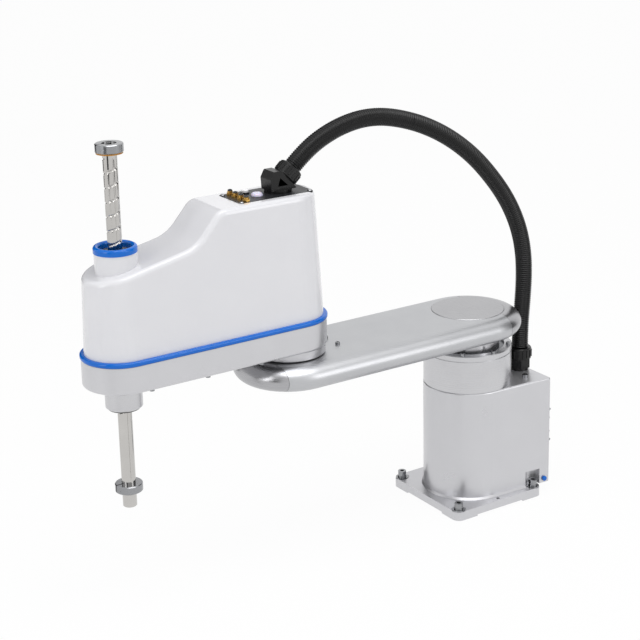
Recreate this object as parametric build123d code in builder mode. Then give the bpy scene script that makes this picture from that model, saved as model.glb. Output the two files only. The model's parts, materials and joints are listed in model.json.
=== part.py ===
"""SCARA robot: base, two horizontal arms and a ball screw spline shaft, in millimetres.

The origin is where the shoulder axis meets the mounting face of the base plate. +X runs along
the straight arm to the tool shaft, +Y to the near side and +Z up.
"""
import math
import os

from build123d import *

os.makedirs("parts", exist_ok=True)

# Driving dimensions: arms and shaft
arm_1_reach = 330.0
arm_2_reach = 270.0
elbow_x = arm_1_reach
shaft_x = arm_1_reach + arm_2_reach
forearm_mid_x = (elbow_x + shaft_x) / 2

# Fits
running_gap = 0.3
seat_gap = 0.05
slip_fit = 0.08
seam = 0.4

# Base
plate_size = 172.0
plate_thick = 15.0
plate_corner = 12.0
plate_pad = 40.0
plate_relief = 2.5
bolt_spacing = 150.0
bolt_hole_radius = 4.5
spot_face_radius = 11.5
spot_face_depth = 1.0
dowel_hole_radius = 3.0
dowel_hole_inset = 6.5
column_radius = 70.0
column_rear = 109.5
column_rear_half = 76.0
column_height = 178.0
column_wall = 8.0
column_foot = 3.0
column_top_round = 3.0
column_corner_round = 4.0
column_floor = 8.0
motor_opening_radius = 50.0
base_opening_radius = 52.0
bolt_relief_radius = 14.0
bolt_relief_height = 26.0
bolt_relief_wall = 6.0
column_top = plate_thick + column_height

column_screw_x = -77.0
column_screw_y = 50.0
plug_x = -98.0
plug_z = 22.0
plug_radius = 4.0
plug_rise = 3.0

# Shoulder bearing ring and drive
ring_height = 61.0
ring_radius = 69.6
ring_bore = 58.0
ring_recess = 4.0
ring_groove_drop = 8.0
ring_groove_width = 1.6
ring_groove_depth = 0.9
ring_edge = 1.2
ring_screw_count = 8
ring_screw_circle = 64.0
ring_top = column_top + ring_height
shoulder_hub_radius = 36.0
shoulder_flange_radius = 50.0
shoulder_drive_floor = 12.0
shoulder_motor_size = 60.0
shoulder_motor_flange = 68.0
shoulder_motor_length = 105.0
motor_flange_thick = 8.0

# First arm
arm_1_lift = 18.0
arm_1_thick = 38.0
arm_1_flat_half = 60.0
arm_1_bulge = 24.0
arm_1_rear_seam = -25.0
arm_1_front_seam = 45.0
cap_wall = 4.0
inlay_radius = 57.0
inlay_thick = 1.6
inlay_proud = 0.5
arm_1_bottom = ring_top + arm_1_lift
arm_1_top = arm_1_bottom + arm_1_thick
arm_1_mid = (arm_1_bottom + arm_1_top) / 2

# Elbow drive
elbow_gap = 1.5
elbow_hub_radius = 34.0
elbow_hub_height = 28.0
elbow_drive_radius = 44.9
elbow_drive_flange = 48.0
elbow_drive_thick = 12.0
elbow_motor_size = 56.0
elbow_motor_length = 88.0

# Forearm casting
boss_height = 12.5
boss_radius = 53.0
casting_height = 39.0
casting_radius = 55.5
casting_wall = 6.0
casting_floor = 8.0
casting_edge_round = 4.0
boss_bottom = arm_1_top + elbow_gap
casting_bottom = boss_bottom + boss_height
casting_floor_top = casting_bottom + casting_floor
casting_top = casting_bottom + casting_height

# Trim strip and cover
trim_height = 7.0
trim_radius = 57.0
trim_inner_radius = 46.5
trim_round = 2.8
cover_radius = 51.0
cover_top_radius = 46.0
cover_rear_lean = 5.5
cover_front_lean = 0.8
cover_wall = 3.5
cover_rise = 184.0
cover_edge_round = 8.0
cover_ramp_height = 118.5
cover_ramp_slope = 12.0
cover_step_slope = 49.0
cover_step_x = 462.0
cover_valley_round = 55.0
cover_brow_round = 24.0
cover_bottom = casting_top + trim_height
cover_top = cover_bottom + cover_rise
chimney_radius = 29.3
chimney_bore = 24.5
ring_cap_height = 9.0
ring_cap_radius = 30.2
ring_cap_bore = 22.5
ring_cap_top = 520.0
chimney_top = ring_cap_top - ring_cap_height

# Top panel with its fittings
panel_length = 122.0
panel_width = 62.0
panel_thick = 2.0
panel_corner = 6.0
panel_ledge = 5.0
panel_rear_x = 300.0
panel_mid_x = panel_rear_x + panel_length / 2
panel_screw_inset = 5.0
fitting_count = 4
fitting_pitch = 15.0
fitting_x = 407.0
fitting_radius = 4.0
fitting_height = 6.0
tube_port_radius = 1.9
collar_ring_radius = 3.2
collar_ring_height = 2.0
lamp_x = 379.0
lamp_y = 4.0
lamp_radius = 8.5
lamp_height = 4.5
lamp_round = 3.8
button_x = 386.0
button_y = -17.0
button_radius = 5.0
button_bezel = 1.5
button_height = 3.5
button_travel = 2.0
button_stem = 4.0
button_stem_radius = 3.5
button_bezel_height = 1.8

# Quill, nuts, pulleys and belts
shaft_radius = 10.0
shaft_bore = 5.5
shaft_length = 519.0
shaft_bottom = 139.0
shaft_edge = 1.0
tool_end_length = 22.0
relief_width = 2.0
relief_depth = 0.4
spline_groove_radius = 1.6
spline_groove_circle = 10.2
spline_groove_count = 3
spline_row_radius = 1.3
quill_length = 35.5
quill_radius = 26.0
quill_wall = 5.0
quill_spigot_radius = 24.0
quill_spigot_rise = 4.0
quill_floor = 3.5
quill_edge = 1.5
bearing_width = 12.0
bearing_ring_wall = 1.4
shield_set_in = 0.8
nut_radius = 16.0
nut_flange_radius = 20.0
nut_flange_thick = 5.0
pulley_bore_gap = 0.8
pulley_radius = 19.0
pulley_height = 18.0
pulley_tooth_count = 24
pulley_tooth_radius = 1.2
pulley_flange_thick = 1.5
pulley_flange_lip = 1.5
motor_pulley_radius = 11.0
motor_pulley_teeth = 14
belt_thick = 1.8
belt_inset = 0.5
quill_bottom = casting_bottom - quill_length
quill_top = casting_floor_top + quill_spigot_rise
spline_nut_top = quill_top + nut_flange_thick + 1.0
spline_pulley_top = spline_nut_top + pulley_height
screw_bearing_bottom = spline_pulley_top + 12.0
screw_bearing_radius = 24.0
screw_bracket_wall = 8.0
screw_lip = 2.0
screw_bracket_leg_long = 14.0
screw_bracket_leg_wide = 9.0
screw_nut_tail = 6.0
screw_flange_bottom = screw_bearing_bottom + bearing_width + running_gap
screw_pulley_bottom = screw_flange_bottom + nut_flange_thick
screw_pulley_top = screw_pulley_bottom + pulley_height

# Motors of the shaft, in the forearm
turn_motor_x = 415.0
lift_motor_x = 478.0
small_motor_size = 42.0
turn_motor_length = 80.0
lift_motor_length = 76.0
motor_shaft_radius = 4.0
motor_plate_thick = 6.0
motor_plate_gap = 4.0
motor_post_radius = 4.0
motor_post_x = 20.0
motor_post_y = 24.0

# Collars on the shaft
upper_collar_top = 660.0
upper_collar_radius = 19.25
upper_collar_height = 12.0
bumper_height = 1.8
lower_collar_top = 174.0
lower_collar_radius = 19.6
lower_collar_height = 11.8
collar_edge = 1.0
collar_slot = 2.0
collar_screw_radius = 3.0
collar_screw_length = 15.0

# Rear connector with two locking levers
connector_y = 14.0
connector_z = 90.0
connector_flange_width = 44.0
connector_flange_height = 70.0
connector_flange_thick = 3.0
connector_width = 34.0
connector_height = 48.0
connector_depth = 25.0
connector_wall = 3.0
connector_insert_depth = 10.0
connector_pin_radius = 1.2
connector_pin_rise = 7.0
connector_pin_pitch = 7.0
connector_screw_radius = 2.6
connector_screw_rise = 2.5
lever_pivot_reach = 21.0
lever_pivot_offset = 16.5
lever_thick = 2.0
lever_pin_radius = 2.5
lever_bar_depth = 4.0
lever_bar_u = 12.5
lever_bar_w = 10.0

# Hose fittings
hose_radius = 13.3
gland_neck_radius = 14.0
gland_neck_height = 4.0
gland_hex_radius = 17.0
gland_hex_height = 15.0
gland_stub_radius = 9.0
gland_nut_radius = 19.3
gland_nut_height = 19.0
gland_rib_count = 16
gland_rib_radius = 1.3
gland_rib_inset = 3.5
elbow_x_seat = 341.5
elbow_flange_radius = 20.0
elbow_flange_height = 5.0
elbow_body_half = 14.0
elbow_nut_length = 18.0
elbow_back_height = 16.0
elbow_shoulder = 6.0
elbow_round = 3.0
elbow_window_width = 17.0
elbow_window_rise = 5.0
elbow_window_height = 17.0

# Screws and washers
m8_head_radius = 6.5
m8_head_height = 8.0
m8_radius = 4.0
m8_shank_radius = 3.6
m8_below_plate = 14.0
m8_socket_radius = 3.4
m8_socket_depth = 4.5
washer_radius = 10.0
washer_thick = 2.0
spring_washer_radius = 7.2
spring_washer_thick = 2.2
spring_washer_split = 1.2
washer_gap = 0.02
small_head_radius = 3.5
small_head_height = 3.5
small_socket_radius = 1.7
small_socket_depth = 1.8
thread_radius = 2.0
thread_depth = 7.0

# Hose route, points chosen along the photographed arch
hose_lower_points = [
    (-95, 15, 231),
    (-95, 15, 258),
    (-101, 12, 297),
    (-105.5, 10.5, 341),
    (-104.5, 9.5, 386),
    (-94, 9, 430),
    (-73, 8, 474),
    (-43, 7.5, 515),
    (-5, 7, 556),
    (40, 6, 591),
    (88, 4.5, 617),
    (113, 3.75, 625.5),
]
hose_upper_points = [
    (113, 3.75, 625.5),
    (143, 2.85, 635.7),
    (190, 1.5, 641),
    (234, 0.8, 634),
    (272, 0.3, 619),
    (300.2, 0, 600.5),
    (318, 0, 584.5),
]
gland_x = hose_lower_points[0][0]
gland_y = hose_lower_points[0][1]
gland_top = hose_lower_points[0][2]
gland_nut_bottom = gland_top - gland_nut_height
gland_hex_bottom = gland_nut_bottom - gland_hex_height


# Half section of the first arm: flat top and bottom with a half ellipse at the side
with BuildSketch() as arm_1_half:
    with BuildLine():
        low = Line((0, arm_1_bottom), (arm_1_flat_half, arm_1_bottom))
        side = EllipticalCenterArc(
            (arm_1_flat_half, arm_1_mid), arm_1_bulge, arm_1_thick / 2, start_angle=-90, arc_size=180
        )
        high = Line(side @ 1, (0, arm_1_top))
        Line(high @ 1, low @ 0)
    make_face()


def arm_1_form(inset):
    """Solid of the whole first arm, or of the hollow in its end caps when inset."""
    with BuildPart() as form:
        with BuildSketch(Plane.YZ):
            add(arm_1_half.sketch)
            mirror(about=Plane.YZ)
        extrude(amount=arm_1_reach)
        with BuildSketch(Plane.XZ):
            add(arm_1_half.sketch)
        revolve(axis=Axis.Z)
        with BuildSketch(Plane.XZ.move(Location((elbow_x, 0, 0)))):
            add(arm_1_half.sketch)
        revolve(axis=Axis((elbow_x, 0, 0), (0, 0, 1)))
        if inset:
            offset(amount=-inset)
    return form.part


def cover_form(inset):
    """Solid of the cover's outside, or of its inside when inset by the wall."""
    with BuildPart() as form:
        with BuildSketch(Plane.XY.offset(cover_bottom)):
            with Locations((forearm_mid_x, 0)):
                SlotCenterToCenter(arm_2_reach, 2 * (cover_radius - inset))
        with BuildSketch(Plane.XY.offset(cover_top)):
            lean_reach = arm_2_reach - cover_rear_lean - cover_front_lean
            with Locations((forearm_mid_x + (cover_rear_lean - cover_front_lean) / 2, 0)):
                SlotCenterToCenter(lean_reach, 2 * (cover_top_radius - inset))
        loft()
        nose_x = shaft_x + 2 * cover_radius
        ramp_end_z = cover_bottom + cover_ramp_height - inset
        ramp_run = math.tan(math.radians(cover_ramp_slope))
        step_run = math.tan(math.radians(cover_step_slope))
        roof_z = cover_top - inset
        step_drop = roof_z - ramp_end_z
        valley_x = (ramp_end_z + ramp_run * shaft_x - roof_z - step_run * (cover_step_x - inset)) / (
            ramp_run - step_run
        )
        valley_z = ramp_end_z + ramp_run * (shaft_x - valley_x)
        nose_z = ramp_end_z - ramp_run * (nose_x - shaft_x)
        with BuildSketch(Plane.XZ):
            with BuildLine():
                roof = FilletPolyline(
                    (0, roof_z),
                    (cover_step_x - inset, roof_z),
                    (valley_x, valley_z),
                    (nose_x, nose_z),
                    radius=[cover_brow_round - inset, cover_valley_round + inset],
                )
                Polyline(roof @ 1, (nose_x, 0), (0, 0), roof @ 0)
            make_face()
        extrude(amount=2 * cover_radius, both=True, mode=Mode.INTERSECT)
        roof_edges = form.edges().filter_by(lambda edge: edge.center().Z > cover_bottom + step_drop)
        fillet(roof_edges.filter_by(lambda edge: not edge.is_interior), cover_edge_round - inset)
    return form.part


def export_piece(piece, label):
    """Label a finished piece and write it to its own file."""
    piece.part.label = label
    export_step(piece.part, f"parts/{label}.step")


# Base casting: plate, hollow column and the open box behind it
with BuildPart() as base_casting:
    with BuildSketch():
        RectangleRounded(plate_size, plate_size, plate_corner)
    extrude(amount=plate_thick)
    corner_distance = math.hypot(column_rear, column_rear_half)
    side_angle = math.degrees(
        math.atan2(column_rear_half, -column_rear) - math.acos(column_radius / corner_distance)
    )
    with BuildSketch(Plane.XY.offset(plate_thick)) as column_plan:
        with BuildLine():
            front = CenterArc((0, 0), column_radius, -side_angle, 2 * side_angle)
            near = Line(front @ 1, (-column_rear, column_rear_half))
            rear = Line(near @ 1, (-column_rear, -column_rear_half))
            Line(rear @ 1, front @ 0)
        make_face()
    extrude(amount=column_height)
    rear_uprights = base_casting.edges().filter_by(Axis.Z).group_by(Axis.X)[0]
    fillet(rear_uprights, column_corner_round)
    fillet(base_casting.faces().sort_by(Axis.Z)[-1].edges(), column_top_round)
    with BuildSketch(Plane.XY.offset(plate_thick)):
        add(offset(column_plan.sketch_local, amount=column_foot, mode=Mode.PRIVATE))
        with Locations((-plate_size, 0)):
            Rectangle(plate_size, 2 * plate_size, mode=Mode.SUBTRACT)
    extrude(amount=column_foot, taper=45)
    with BuildSketch(Plane.XY.offset(plate_thick + column_floor)):
        add(offset(column_plan.sketch_local, amount=-column_wall, mode=Mode.PRIVATE))
        with Locations(
            (-bolt_spacing / 2, bolt_spacing / 2),
            (-bolt_spacing / 2, -bolt_spacing / 2),
        ):
            Circle(bolt_relief_radius + bolt_relief_wall, mode=Mode.SUBTRACT)
    extrude(amount=column_height - column_floor - column_wall, mode=Mode.SUBTRACT)
    with BuildSketch(Plane.XY.offset(plate_thick)):
        with Locations(
            (-bolt_spacing / 2, bolt_spacing / 2),
            (-bolt_spacing / 2, -bolt_spacing / 2),
        ):
            Circle(bolt_relief_radius)
    extrude(amount=bolt_relief_height, mode=Mode.SUBTRACT)
    with BuildSketch(Plane.XY.offset(plate_thick - spot_face_depth)):
        with GridLocations(bolt_spacing, bolt_spacing, 2, 2):
            Circle(spot_face_radius)
    extrude(amount=spot_face_depth, mode=Mode.SUBTRACT)
    with BuildSketch():
        with GridLocations(bolt_spacing, bolt_spacing, 2, 2):
            Circle(bolt_hole_radius)
        with Locations((0, plate_size / 2 - dowel_hole_inset)):
            Circle(dowel_hole_radius)
        Circle(base_opening_radius)
    extrude(amount=plate_thick + column_floor, mode=Mode.SUBTRACT)
    with BuildSketch():
        Rectangle(plate_size, plate_size - 2 * plate_pad)
        Rectangle(plate_size - 2 * plate_pad, plate_size)
    extrude(amount=plate_relief, mode=Mode.SUBTRACT)
    with BuildSketch(Plane.XY.offset(column_top - column_wall)):
        Circle(motor_opening_radius)
        with Locations((gland_x, gland_y)):
            Circle(gland_stub_radius + running_gap)
        with Locations((column_screw_x, column_screw_y)):
            Circle(thread_radius + slip_fit)
    extrude(amount=column_wall, mode=Mode.SUBTRACT)
export_piece(base_casting, "base_casting")

# Shoulder bearing ring: turned ring on the column, grooved near its top
with BuildPart() as bearing_ring:
    with BuildSketch(Plane.XZ):
        with BuildLine():
            groove_top = ring_top - ring_groove_drop
            Polyline(
                (ring_bore, column_top),
                (ring_radius, column_top),
                (ring_radius, groove_top - ring_groove_width),
                (ring_radius - ring_groove_depth, groove_top - ring_groove_width),
                (ring_radius - ring_groove_depth, groove_top),
                (ring_radius, groove_top),
                (ring_radius, ring_top - ring_edge),
                (ring_radius - ring_edge, ring_top),
                (ring_bore, ring_top),
                close=True,
            )
        make_face()
    revolve(axis=Axis.Z)
    with BuildSketch(Plane.XY.offset(ring_top - thread_depth)):
        with PolarLocations(ring_screw_circle, ring_screw_count):
            Circle(thread_radius)
    extrude(amount=thread_depth, mode=Mode.SUBTRACT)
export_piece(bearing_ring, "bearing_ring")


def socket_screws(seat_plane, spots, head_radius, head_height, socket_radius, socket_depth, stem, depth):
    """Cap screws standing on a plane, as one group of separate solids."""
    with BuildPart() as screws:
        with BuildSketch(seat_plane):
            with Locations(*spots):
                Circle(head_radius)
        extrude(amount=head_height)
        with BuildSketch(seat_plane):
            with Locations(*spots):
                Circle(stem)
        extrude(amount=-depth)
        with BuildSketch(seat_plane.offset(head_height - socket_depth)):
            with Locations(*spots):
                RegularPolygon(socket_radius, 6)
        extrude(amount=socket_depth, mode=Mode.SUBTRACT)
    return screws


def small_screws(seat_plane, spots):
    """Group of the small cap screws."""
    return socket_screws(
        seat_plane,
        spots,
        small_head_radius,
        small_head_height,
        small_socket_radius,
        small_socket_depth,
        thread_radius - slip_fit,
        thread_depth - running_gap,
    )


ring_screw_turns = [360 / ring_screw_count * index for index in range(ring_screw_count)]
ring_screw_spots = [
    (ring_screw_circle * math.cos(math.radians(turn)), ring_screw_circle * math.sin(math.radians(turn)))
    for turn in ring_screw_turns
]
bearing_ring_screws = small_screws(Plane.XY.offset(ring_top), ring_screw_spots)
export_piece(bearing_ring_screws, "bearing_ring_screws")

# Foundation bolts with their flat and spring washers
bolt_half = bolt_spacing / 2
bolt_spots = [(x, y) for x in (-bolt_half, bolt_half) for y in (-bolt_half, bolt_half)]
spot_face_z = plate_thick - spot_face_depth
with BuildPart() as base_washers:
    with BuildSketch(Plane.XY.offset(spot_face_z)):
        with Locations(*bolt_spots):
            Circle(washer_radius)
            Circle(m8_radius + running_gap, mode=Mode.SUBTRACT)
    extrude(amount=washer_thick)
    with BuildSketch(Plane.XY.offset(spot_face_z + washer_thick + washer_gap)):
        with Locations(*bolt_spots):
            Circle(spring_washer_radius)
            Circle(m8_radius + running_gap, mode=Mode.SUBTRACT)
            with Locations((spring_washer_radius, 0)):
                Rectangle(spring_washer_radius, spring_washer_split, mode=Mode.SUBTRACT)
    extrude(amount=spring_washer_thick)
export_piece(base_washers, "base_washers")

bolt_seat_z = spot_face_z + washer_thick + washer_gap + spring_washer_thick
bolt_heads = socket_screws(
    Plane.XY.offset(bolt_seat_z),
    bolt_spots,
    m8_head_radius,
    m8_head_height,
    m8_socket_radius,
    m8_socket_depth,
    m8_shank_radius,
    bolt_seat_z,
)
with BuildPart() as base_bolts:
    add(bolt_heads.part)
    with BuildSketch():
        with Locations(*bolt_spots):
            Circle(m8_radius)
    extrude(amount=-m8_below_plate)
export_piece(base_bolts, "base_bolts")

# Earth screw on the column's roof and round plug in its near side
column_screw = socket_screws(
    Plane.XY.offset(column_top),
    [(column_screw_x, column_screw_y)],
    small_head_radius + 1,
    small_head_height + 1,
    small_socket_radius + 0.5,
    small_socket_depth,
    thread_radius,
    thread_depth,
)
export_piece(column_screw, "column_screw")

with BuildPart() as side_plug:
    with BuildSketch(Plane(origin=(plug_x, column_rear_half, plug_z), x_dir=(1, 0, 0), z_dir=(0, 1, 0))):
        Circle(plug_radius)
    extrude(amount=plug_rise)
    chamfer(side_plug.faces().sort_by(Axis.Y)[-1].edges(), collar_edge)
export_piece(side_plug, "side_plug")

# Shoulder drive: gear unit in the ring with its servo motor below
with BuildPart() as shoulder_drive:
    with BuildSketch(Plane.XZ):
        with BuildLine():
            drive_floor_z = column_top + shoulder_drive_floor
            drive_bore = shoulder_hub_radius + running_gap
            Polyline(
                (0, column_top),
                (ring_bore - seat_gap, column_top),
                (ring_bore - seat_gap, ring_top - ring_recess),
                (drive_bore, ring_top - ring_recess),
                (drive_bore, drive_floor_z),
                (0, drive_floor_z),
                close=True,
            )
        make_face()
    revolve(axis=Axis.Z)
export_piece(shoulder_drive, "shoulder_drive")

with BuildPart() as shoulder_motor:
    with BuildSketch(Plane.XY.offset(column_top)):
        RectangleRounded(shoulder_motor_flange, shoulder_motor_flange, motor_flange_thick)
    extrude(amount=-motor_flange_thick)
    with BuildSketch(Plane.XY.offset(column_top - motor_flange_thick)):
        RectangleRounded(shoulder_motor_size, shoulder_motor_size, motor_flange_thick)
    extrude(amount=-shoulder_motor_length)
export_piece(shoulder_motor, "shoulder_motor")

# Shoulder hub: output flange of the drive, under the first arm
with BuildPart() as shoulder_hub:
    with BuildSketch(Plane.XY.offset(drive_floor_z + running_gap)):
        Circle(shoulder_hub_radius)
    extrude(amount=ring_top - drive_floor_z - running_gap)
    with BuildSketch(Plane.XY.offset(ring_top - ring_recess + 1)):
        Circle(shoulder_flange_radius)
    extrude(amount=arm_1_lift + ring_recess - 1)
export_piece(shoulder_hub, "shoulder_hub")

# First arm: casting with an oval edge and a moulded cap at each end
arm_1_solid = arm_1_form(0)
arm_1_hollow = arm_1_form(cap_wall)
front_seam_x = elbow_x + arm_1_front_seam
far_side = 2 * (arm_1_flat_half + arm_1_bulge)

with BuildPart() as arm_1_casting:
    add(arm_1_solid)
    split(bisect_by=Plane.YZ.offset(front_seam_x), keep=Keep.BOTTOM)
    split(bisect_by=Plane.YZ.offset(arm_1_rear_seam), keep=Keep.TOP)
    with BuildSketch(Plane.XY.offset(arm_1_top - inlay_thick + inlay_proud)):
        Circle(inlay_radius + running_gap)
    extrude(amount=inlay_thick, mode=Mode.SUBTRACT)
    with BuildSketch(Plane.XY.offset(arm_1_top - thread_depth)):
        with Locations(*[(elbow_x - 74, y) for y in (-16, 16)]):
            Circle(thread_radius)
    extrude(amount=thread_depth, mode=Mode.SUBTRACT)
export_piece(arm_1_casting, "arm_1_casting")

with BuildPart() as arm_1_front_cap:
    add(arm_1_solid)
    add(arm_1_hollow, mode=Mode.SUBTRACT)
    split(bisect_by=Plane.YZ.offset(front_seam_x + seam), keep=Keep.TOP)
export_piece(arm_1_front_cap, "arm_1_front_cap")

with BuildPart() as arm_1_rear_cap:
    add(arm_1_solid)
    add(arm_1_hollow, mode=Mode.SUBTRACT)
    split(bisect_by=Plane.YZ.offset(arm_1_rear_seam - seam), keep=Keep.BOTTOM)
    with BuildSketch(Plane.XY.offset(arm_1_top - inlay_thick + inlay_proud)):
        Circle(inlay_radius + running_gap)
    extrude(amount=inlay_thick, mode=Mode.SUBTRACT)
export_piece(arm_1_rear_cap, "arm_1_rear_cap")

with BuildPart() as arm_1_inlay:
    with BuildSketch(Plane.XY.offset(arm_1_top - inlay_thick + inlay_proud)):
        Circle(inlay_radius)
    extrude(amount=inlay_thick)
    chamfer(arm_1_inlay.faces().sort_by(Axis.Z)[-1].edges(), inlay_proud - slip_fit)
export_piece(arm_1_inlay, "arm_1_inlay")

arm_1_screws = small_screws(Plane.XY.offset(arm_1_top), [(elbow_x - 74, y) for y in (-16, 16)])
export_piece(arm_1_screws, "arm_1_screws")

# Elbow hub and drive: the hub stands on the first arm, the drive sits in the forearm's boss
with BuildPart() as elbow_hub:
    with BuildSketch(Plane.XY.offset(arm_1_top)):
        with Locations((elbow_x, 0)):
            Circle(elbow_hub_radius)
    extrude(amount=elbow_hub_height)
export_piece(elbow_hub, "elbow_hub")

elbow_axis = Axis((elbow_x, 0, 0), (0, 0, 1))
elbow_section = Plane.XZ.move(Location((elbow_x, 0, 0)))
shaft_axis = Axis((shaft_x, 0, 0), (0, 0, 1))
shaft_section = Plane.XZ.move(Location((shaft_x, 0, 0)))
elbow_drive_top = casting_floor_top + elbow_drive_thick
with BuildPart() as elbow_drive:
    with BuildSketch(elbow_section):
        with BuildLine():
            elbow_bore = elbow_hub_radius + running_gap
            elbow_roof = arm_1_top + elbow_hub_height + running_gap
            Polyline(
                (elbow_bore, boss_bottom + running_gap),
                (elbow_drive_radius, boss_bottom + running_gap),
                (elbow_drive_radius, casting_floor_top),
                (elbow_drive_flange, casting_floor_top),
                (elbow_drive_flange, elbow_drive_top),
                (0, elbow_drive_top),
                (0, elbow_roof),
                (elbow_bore, elbow_roof),
                close=True,
            )
        make_face()
    revolve(axis=elbow_axis)
export_piece(elbow_drive, "elbow_drive")

with BuildPart() as elbow_motor:
    with BuildSketch(Plane.XY.offset(elbow_drive_top)):
        with Locations((elbow_x, 0)):
            RectangleRounded(elbow_motor_size + 4, elbow_motor_size + 4, motor_flange_thick / 2)
    extrude(amount=motor_flange_thick)
    with BuildSketch(Plane.XY.offset(elbow_drive_top + motor_flange_thick)):
        with Locations((elbow_x, 0)):
            RectangleRounded(elbow_motor_size, elbow_motor_size, motor_flange_thick / 2)
    extrude(amount=elbow_motor_length)
export_piece(elbow_motor, "elbow_motor")

# Forearm casting: an open tray with a boss at the elbow and a bore for the quill
with BuildPart() as forearm_casting:
    with BuildSketch(Plane.XY.offset(casting_bottom)):
        with Locations((forearm_mid_x, 0)):
            SlotCenterToCenter(arm_2_reach, 2 * casting_radius)
    extrude(amount=casting_height)
    fillet(forearm_casting.faces().sort_by(Axis.Z)[0].edges(), casting_edge_round)
    with BuildSketch(Plane.XY.offset(boss_bottom)):
        with Locations((elbow_x, 0)):
            Circle(boss_radius)
    extrude(amount=boss_height)
    chamfer(forearm_casting.faces().sort_by(Axis.Z)[0].edges(), collar_edge)
    with BuildSketch(Plane.XY.offset(casting_floor_top)):
        with Locations((forearm_mid_x, 0)):
            SlotCenterToCenter(arm_2_reach, 2 * (casting_radius - casting_wall))
    extrude(amount=casting_height, mode=Mode.SUBTRACT)
    with BuildSketch(Plane.XY.offset(boss_bottom)):
        with Locations((elbow_x, 0)):
            Circle(elbow_drive_radius + seat_gap)
        with Locations((shaft_x, 0)):
            Circle(quill_spigot_radius + seat_gap)
    extrude(amount=boss_height + casting_floor, mode=Mode.SUBTRACT)
    with BuildSketch(Plane.XY.offset(casting_bottom)):
        with Locations(*[(x, y) for x in (405, 492, 579) for y in (-46, 46)]):
            Circle(thread_radius)
    extrude(amount=thread_depth, mode=Mode.SUBTRACT)
export_piece(forearm_casting, "forearm_casting")

forearm_screws = small_screws(
    Plane(origin=(0, 0, casting_bottom), x_dir=(1, 0, 0), z_dir=(0, 0, -1)),
    [(x, y) for x in (405, 492, 579) for y in (-46, 46)],
)
export_piece(forearm_screws, "forearm_screws")

# Trim strip: the coloured rubber bead between casting and cover
with BuildPart() as trim_strip:
    with BuildSketch(Plane.XY.offset(casting_top)):
        with Locations((forearm_mid_x, 0)):
            SlotCenterToCenter(arm_2_reach, 2 * trim_radius)
            SlotCenterToCenter(arm_2_reach, 2 * trim_inner_radius, mode=Mode.SUBTRACT)
    extrude(amount=trim_height)
    outer_rims = trim_strip.faces().filter_by(Plane.XY).edges()
    outer_rims = outer_rims.filter_by(lambda edge: edge.length > math.pi * (trim_radius - 1))
    outer_rims = outer_rims.filter_by(
        lambda edge: edge.geom_type == GeomType.CIRCLE or abs(edge.center().Y) > trim_radius - 1
    )
    fillet(outer_rims, trim_round)
export_piece(trim_strip, "trim_strip")

# Cover: the moulded shell with its ramp, brow and chimney, the piece that takes the most skill
cover_outside = cover_form(0)
cover_inside = cover_form(cover_wall)
panel_seat_z = cover_top - panel_thick
with BuildPart() as forearm_cover:
    add(cover_outside)
    with BuildSketch(Plane.XY.offset(chimney_top)):
        with Locations((shaft_x, 0)):
            Circle(chimney_radius)
    extrude(amount=-(chimney_top - cover_bottom - cover_ramp_height + cover_edge_round))
    add(cover_inside, mode=Mode.SUBTRACT)
    with BuildSketch(Plane.XY.offset(chimney_top)):
        with Locations((shaft_x, 0)):
            Circle(chimney_bore)
    extrude(amount=-(chimney_top - cover_bottom - cover_ramp_height / 2), mode=Mode.SUBTRACT)
    with BuildSketch(Plane.XY.offset(panel_seat_z)):
        with Locations((panel_mid_x, 0)):
            RectangleRounded(panel_length + seam, panel_width + seam, panel_corner)
    extrude(amount=panel_thick, mode=Mode.SUBTRACT)
    with BuildSketch(Plane.XY.offset(panel_seat_z)):
        with Locations((panel_mid_x, 0)):
            RectangleRounded(
                panel_length - 2 * panel_ledge, panel_width - 2 * panel_ledge, panel_corner - 1
            )
    extrude(amount=-cover_wall, mode=Mode.SUBTRACT)
export_piece(forearm_cover, "forearm_cover")

with BuildPart() as shaft_ring:
    with BuildSketch(shaft_section):
        with BuildLine():
            ring_cap_mid = (ring_cap_radius + ring_cap_bore) / 2
            outer_wall = Line((ring_cap_radius, chimney_top), (ring_cap_radius, ring_cap_top - 4))
            crown = ThreePointArc(
                outer_wall @ 1, (ring_cap_mid, ring_cap_top), (ring_cap_bore, ring_cap_top - 4)
            )
            Polyline(crown @ 1, (ring_cap_bore, chimney_top), outer_wall @ 0)
        make_face()
    revolve(axis=shaft_axis)
export_piece(shaft_ring, "shaft_ring")

# Quill: the flanged tube below the forearm that carries the spline nut
with BuildPart() as quill:
    with BuildSketch(shaft_section):
        with BuildLine():
            quill_bore = quill_radius - quill_wall
            Polyline(
                (nut_radius + running_gap, quill_bottom),
                (quill_radius - quill_edge, quill_bottom),
                (quill_radius, quill_bottom + quill_edge),
                (quill_radius, casting_bottom),
                (quill_spigot_radius, casting_bottom),
                (quill_spigot_radius, quill_top),
                (quill_bore, quill_top),
                (quill_bore, quill_bottom + quill_floor),
                (nut_radius + running_gap, quill_bottom + quill_floor),
                close=True,
            )
        make_face()
    revolve(axis=shaft_axis)
export_piece(quill, "quill")


def bearing_at(bottom_z, outer_radius):
    """Shielded ball bearing round a nut: rings at full width, the shields between them set in."""
    inner_edge = nut_radius + seat_gap
    with BuildPart() as bearing:
        with BuildSketch(Plane.XY.offset(bottom_z)):
            with Locations((shaft_x, 0)):
                Circle(outer_radius)
                Circle(inner_edge, mode=Mode.SUBTRACT)
        extrude(amount=bearing_width)
        for shield_z in (bottom_z, bottom_z + bearing_width - shield_set_in):
            with BuildSketch(Plane.XY.offset(shield_z)):
                with Locations((shaft_x, 0)):
                    Circle(outer_radius - bearing_ring_wall)
                    Circle(inner_edge + bearing_ring_wall, mode=Mode.SUBTRACT)
            extrude(amount=shield_set_in, mode=Mode.SUBTRACT)
    return bearing


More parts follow.
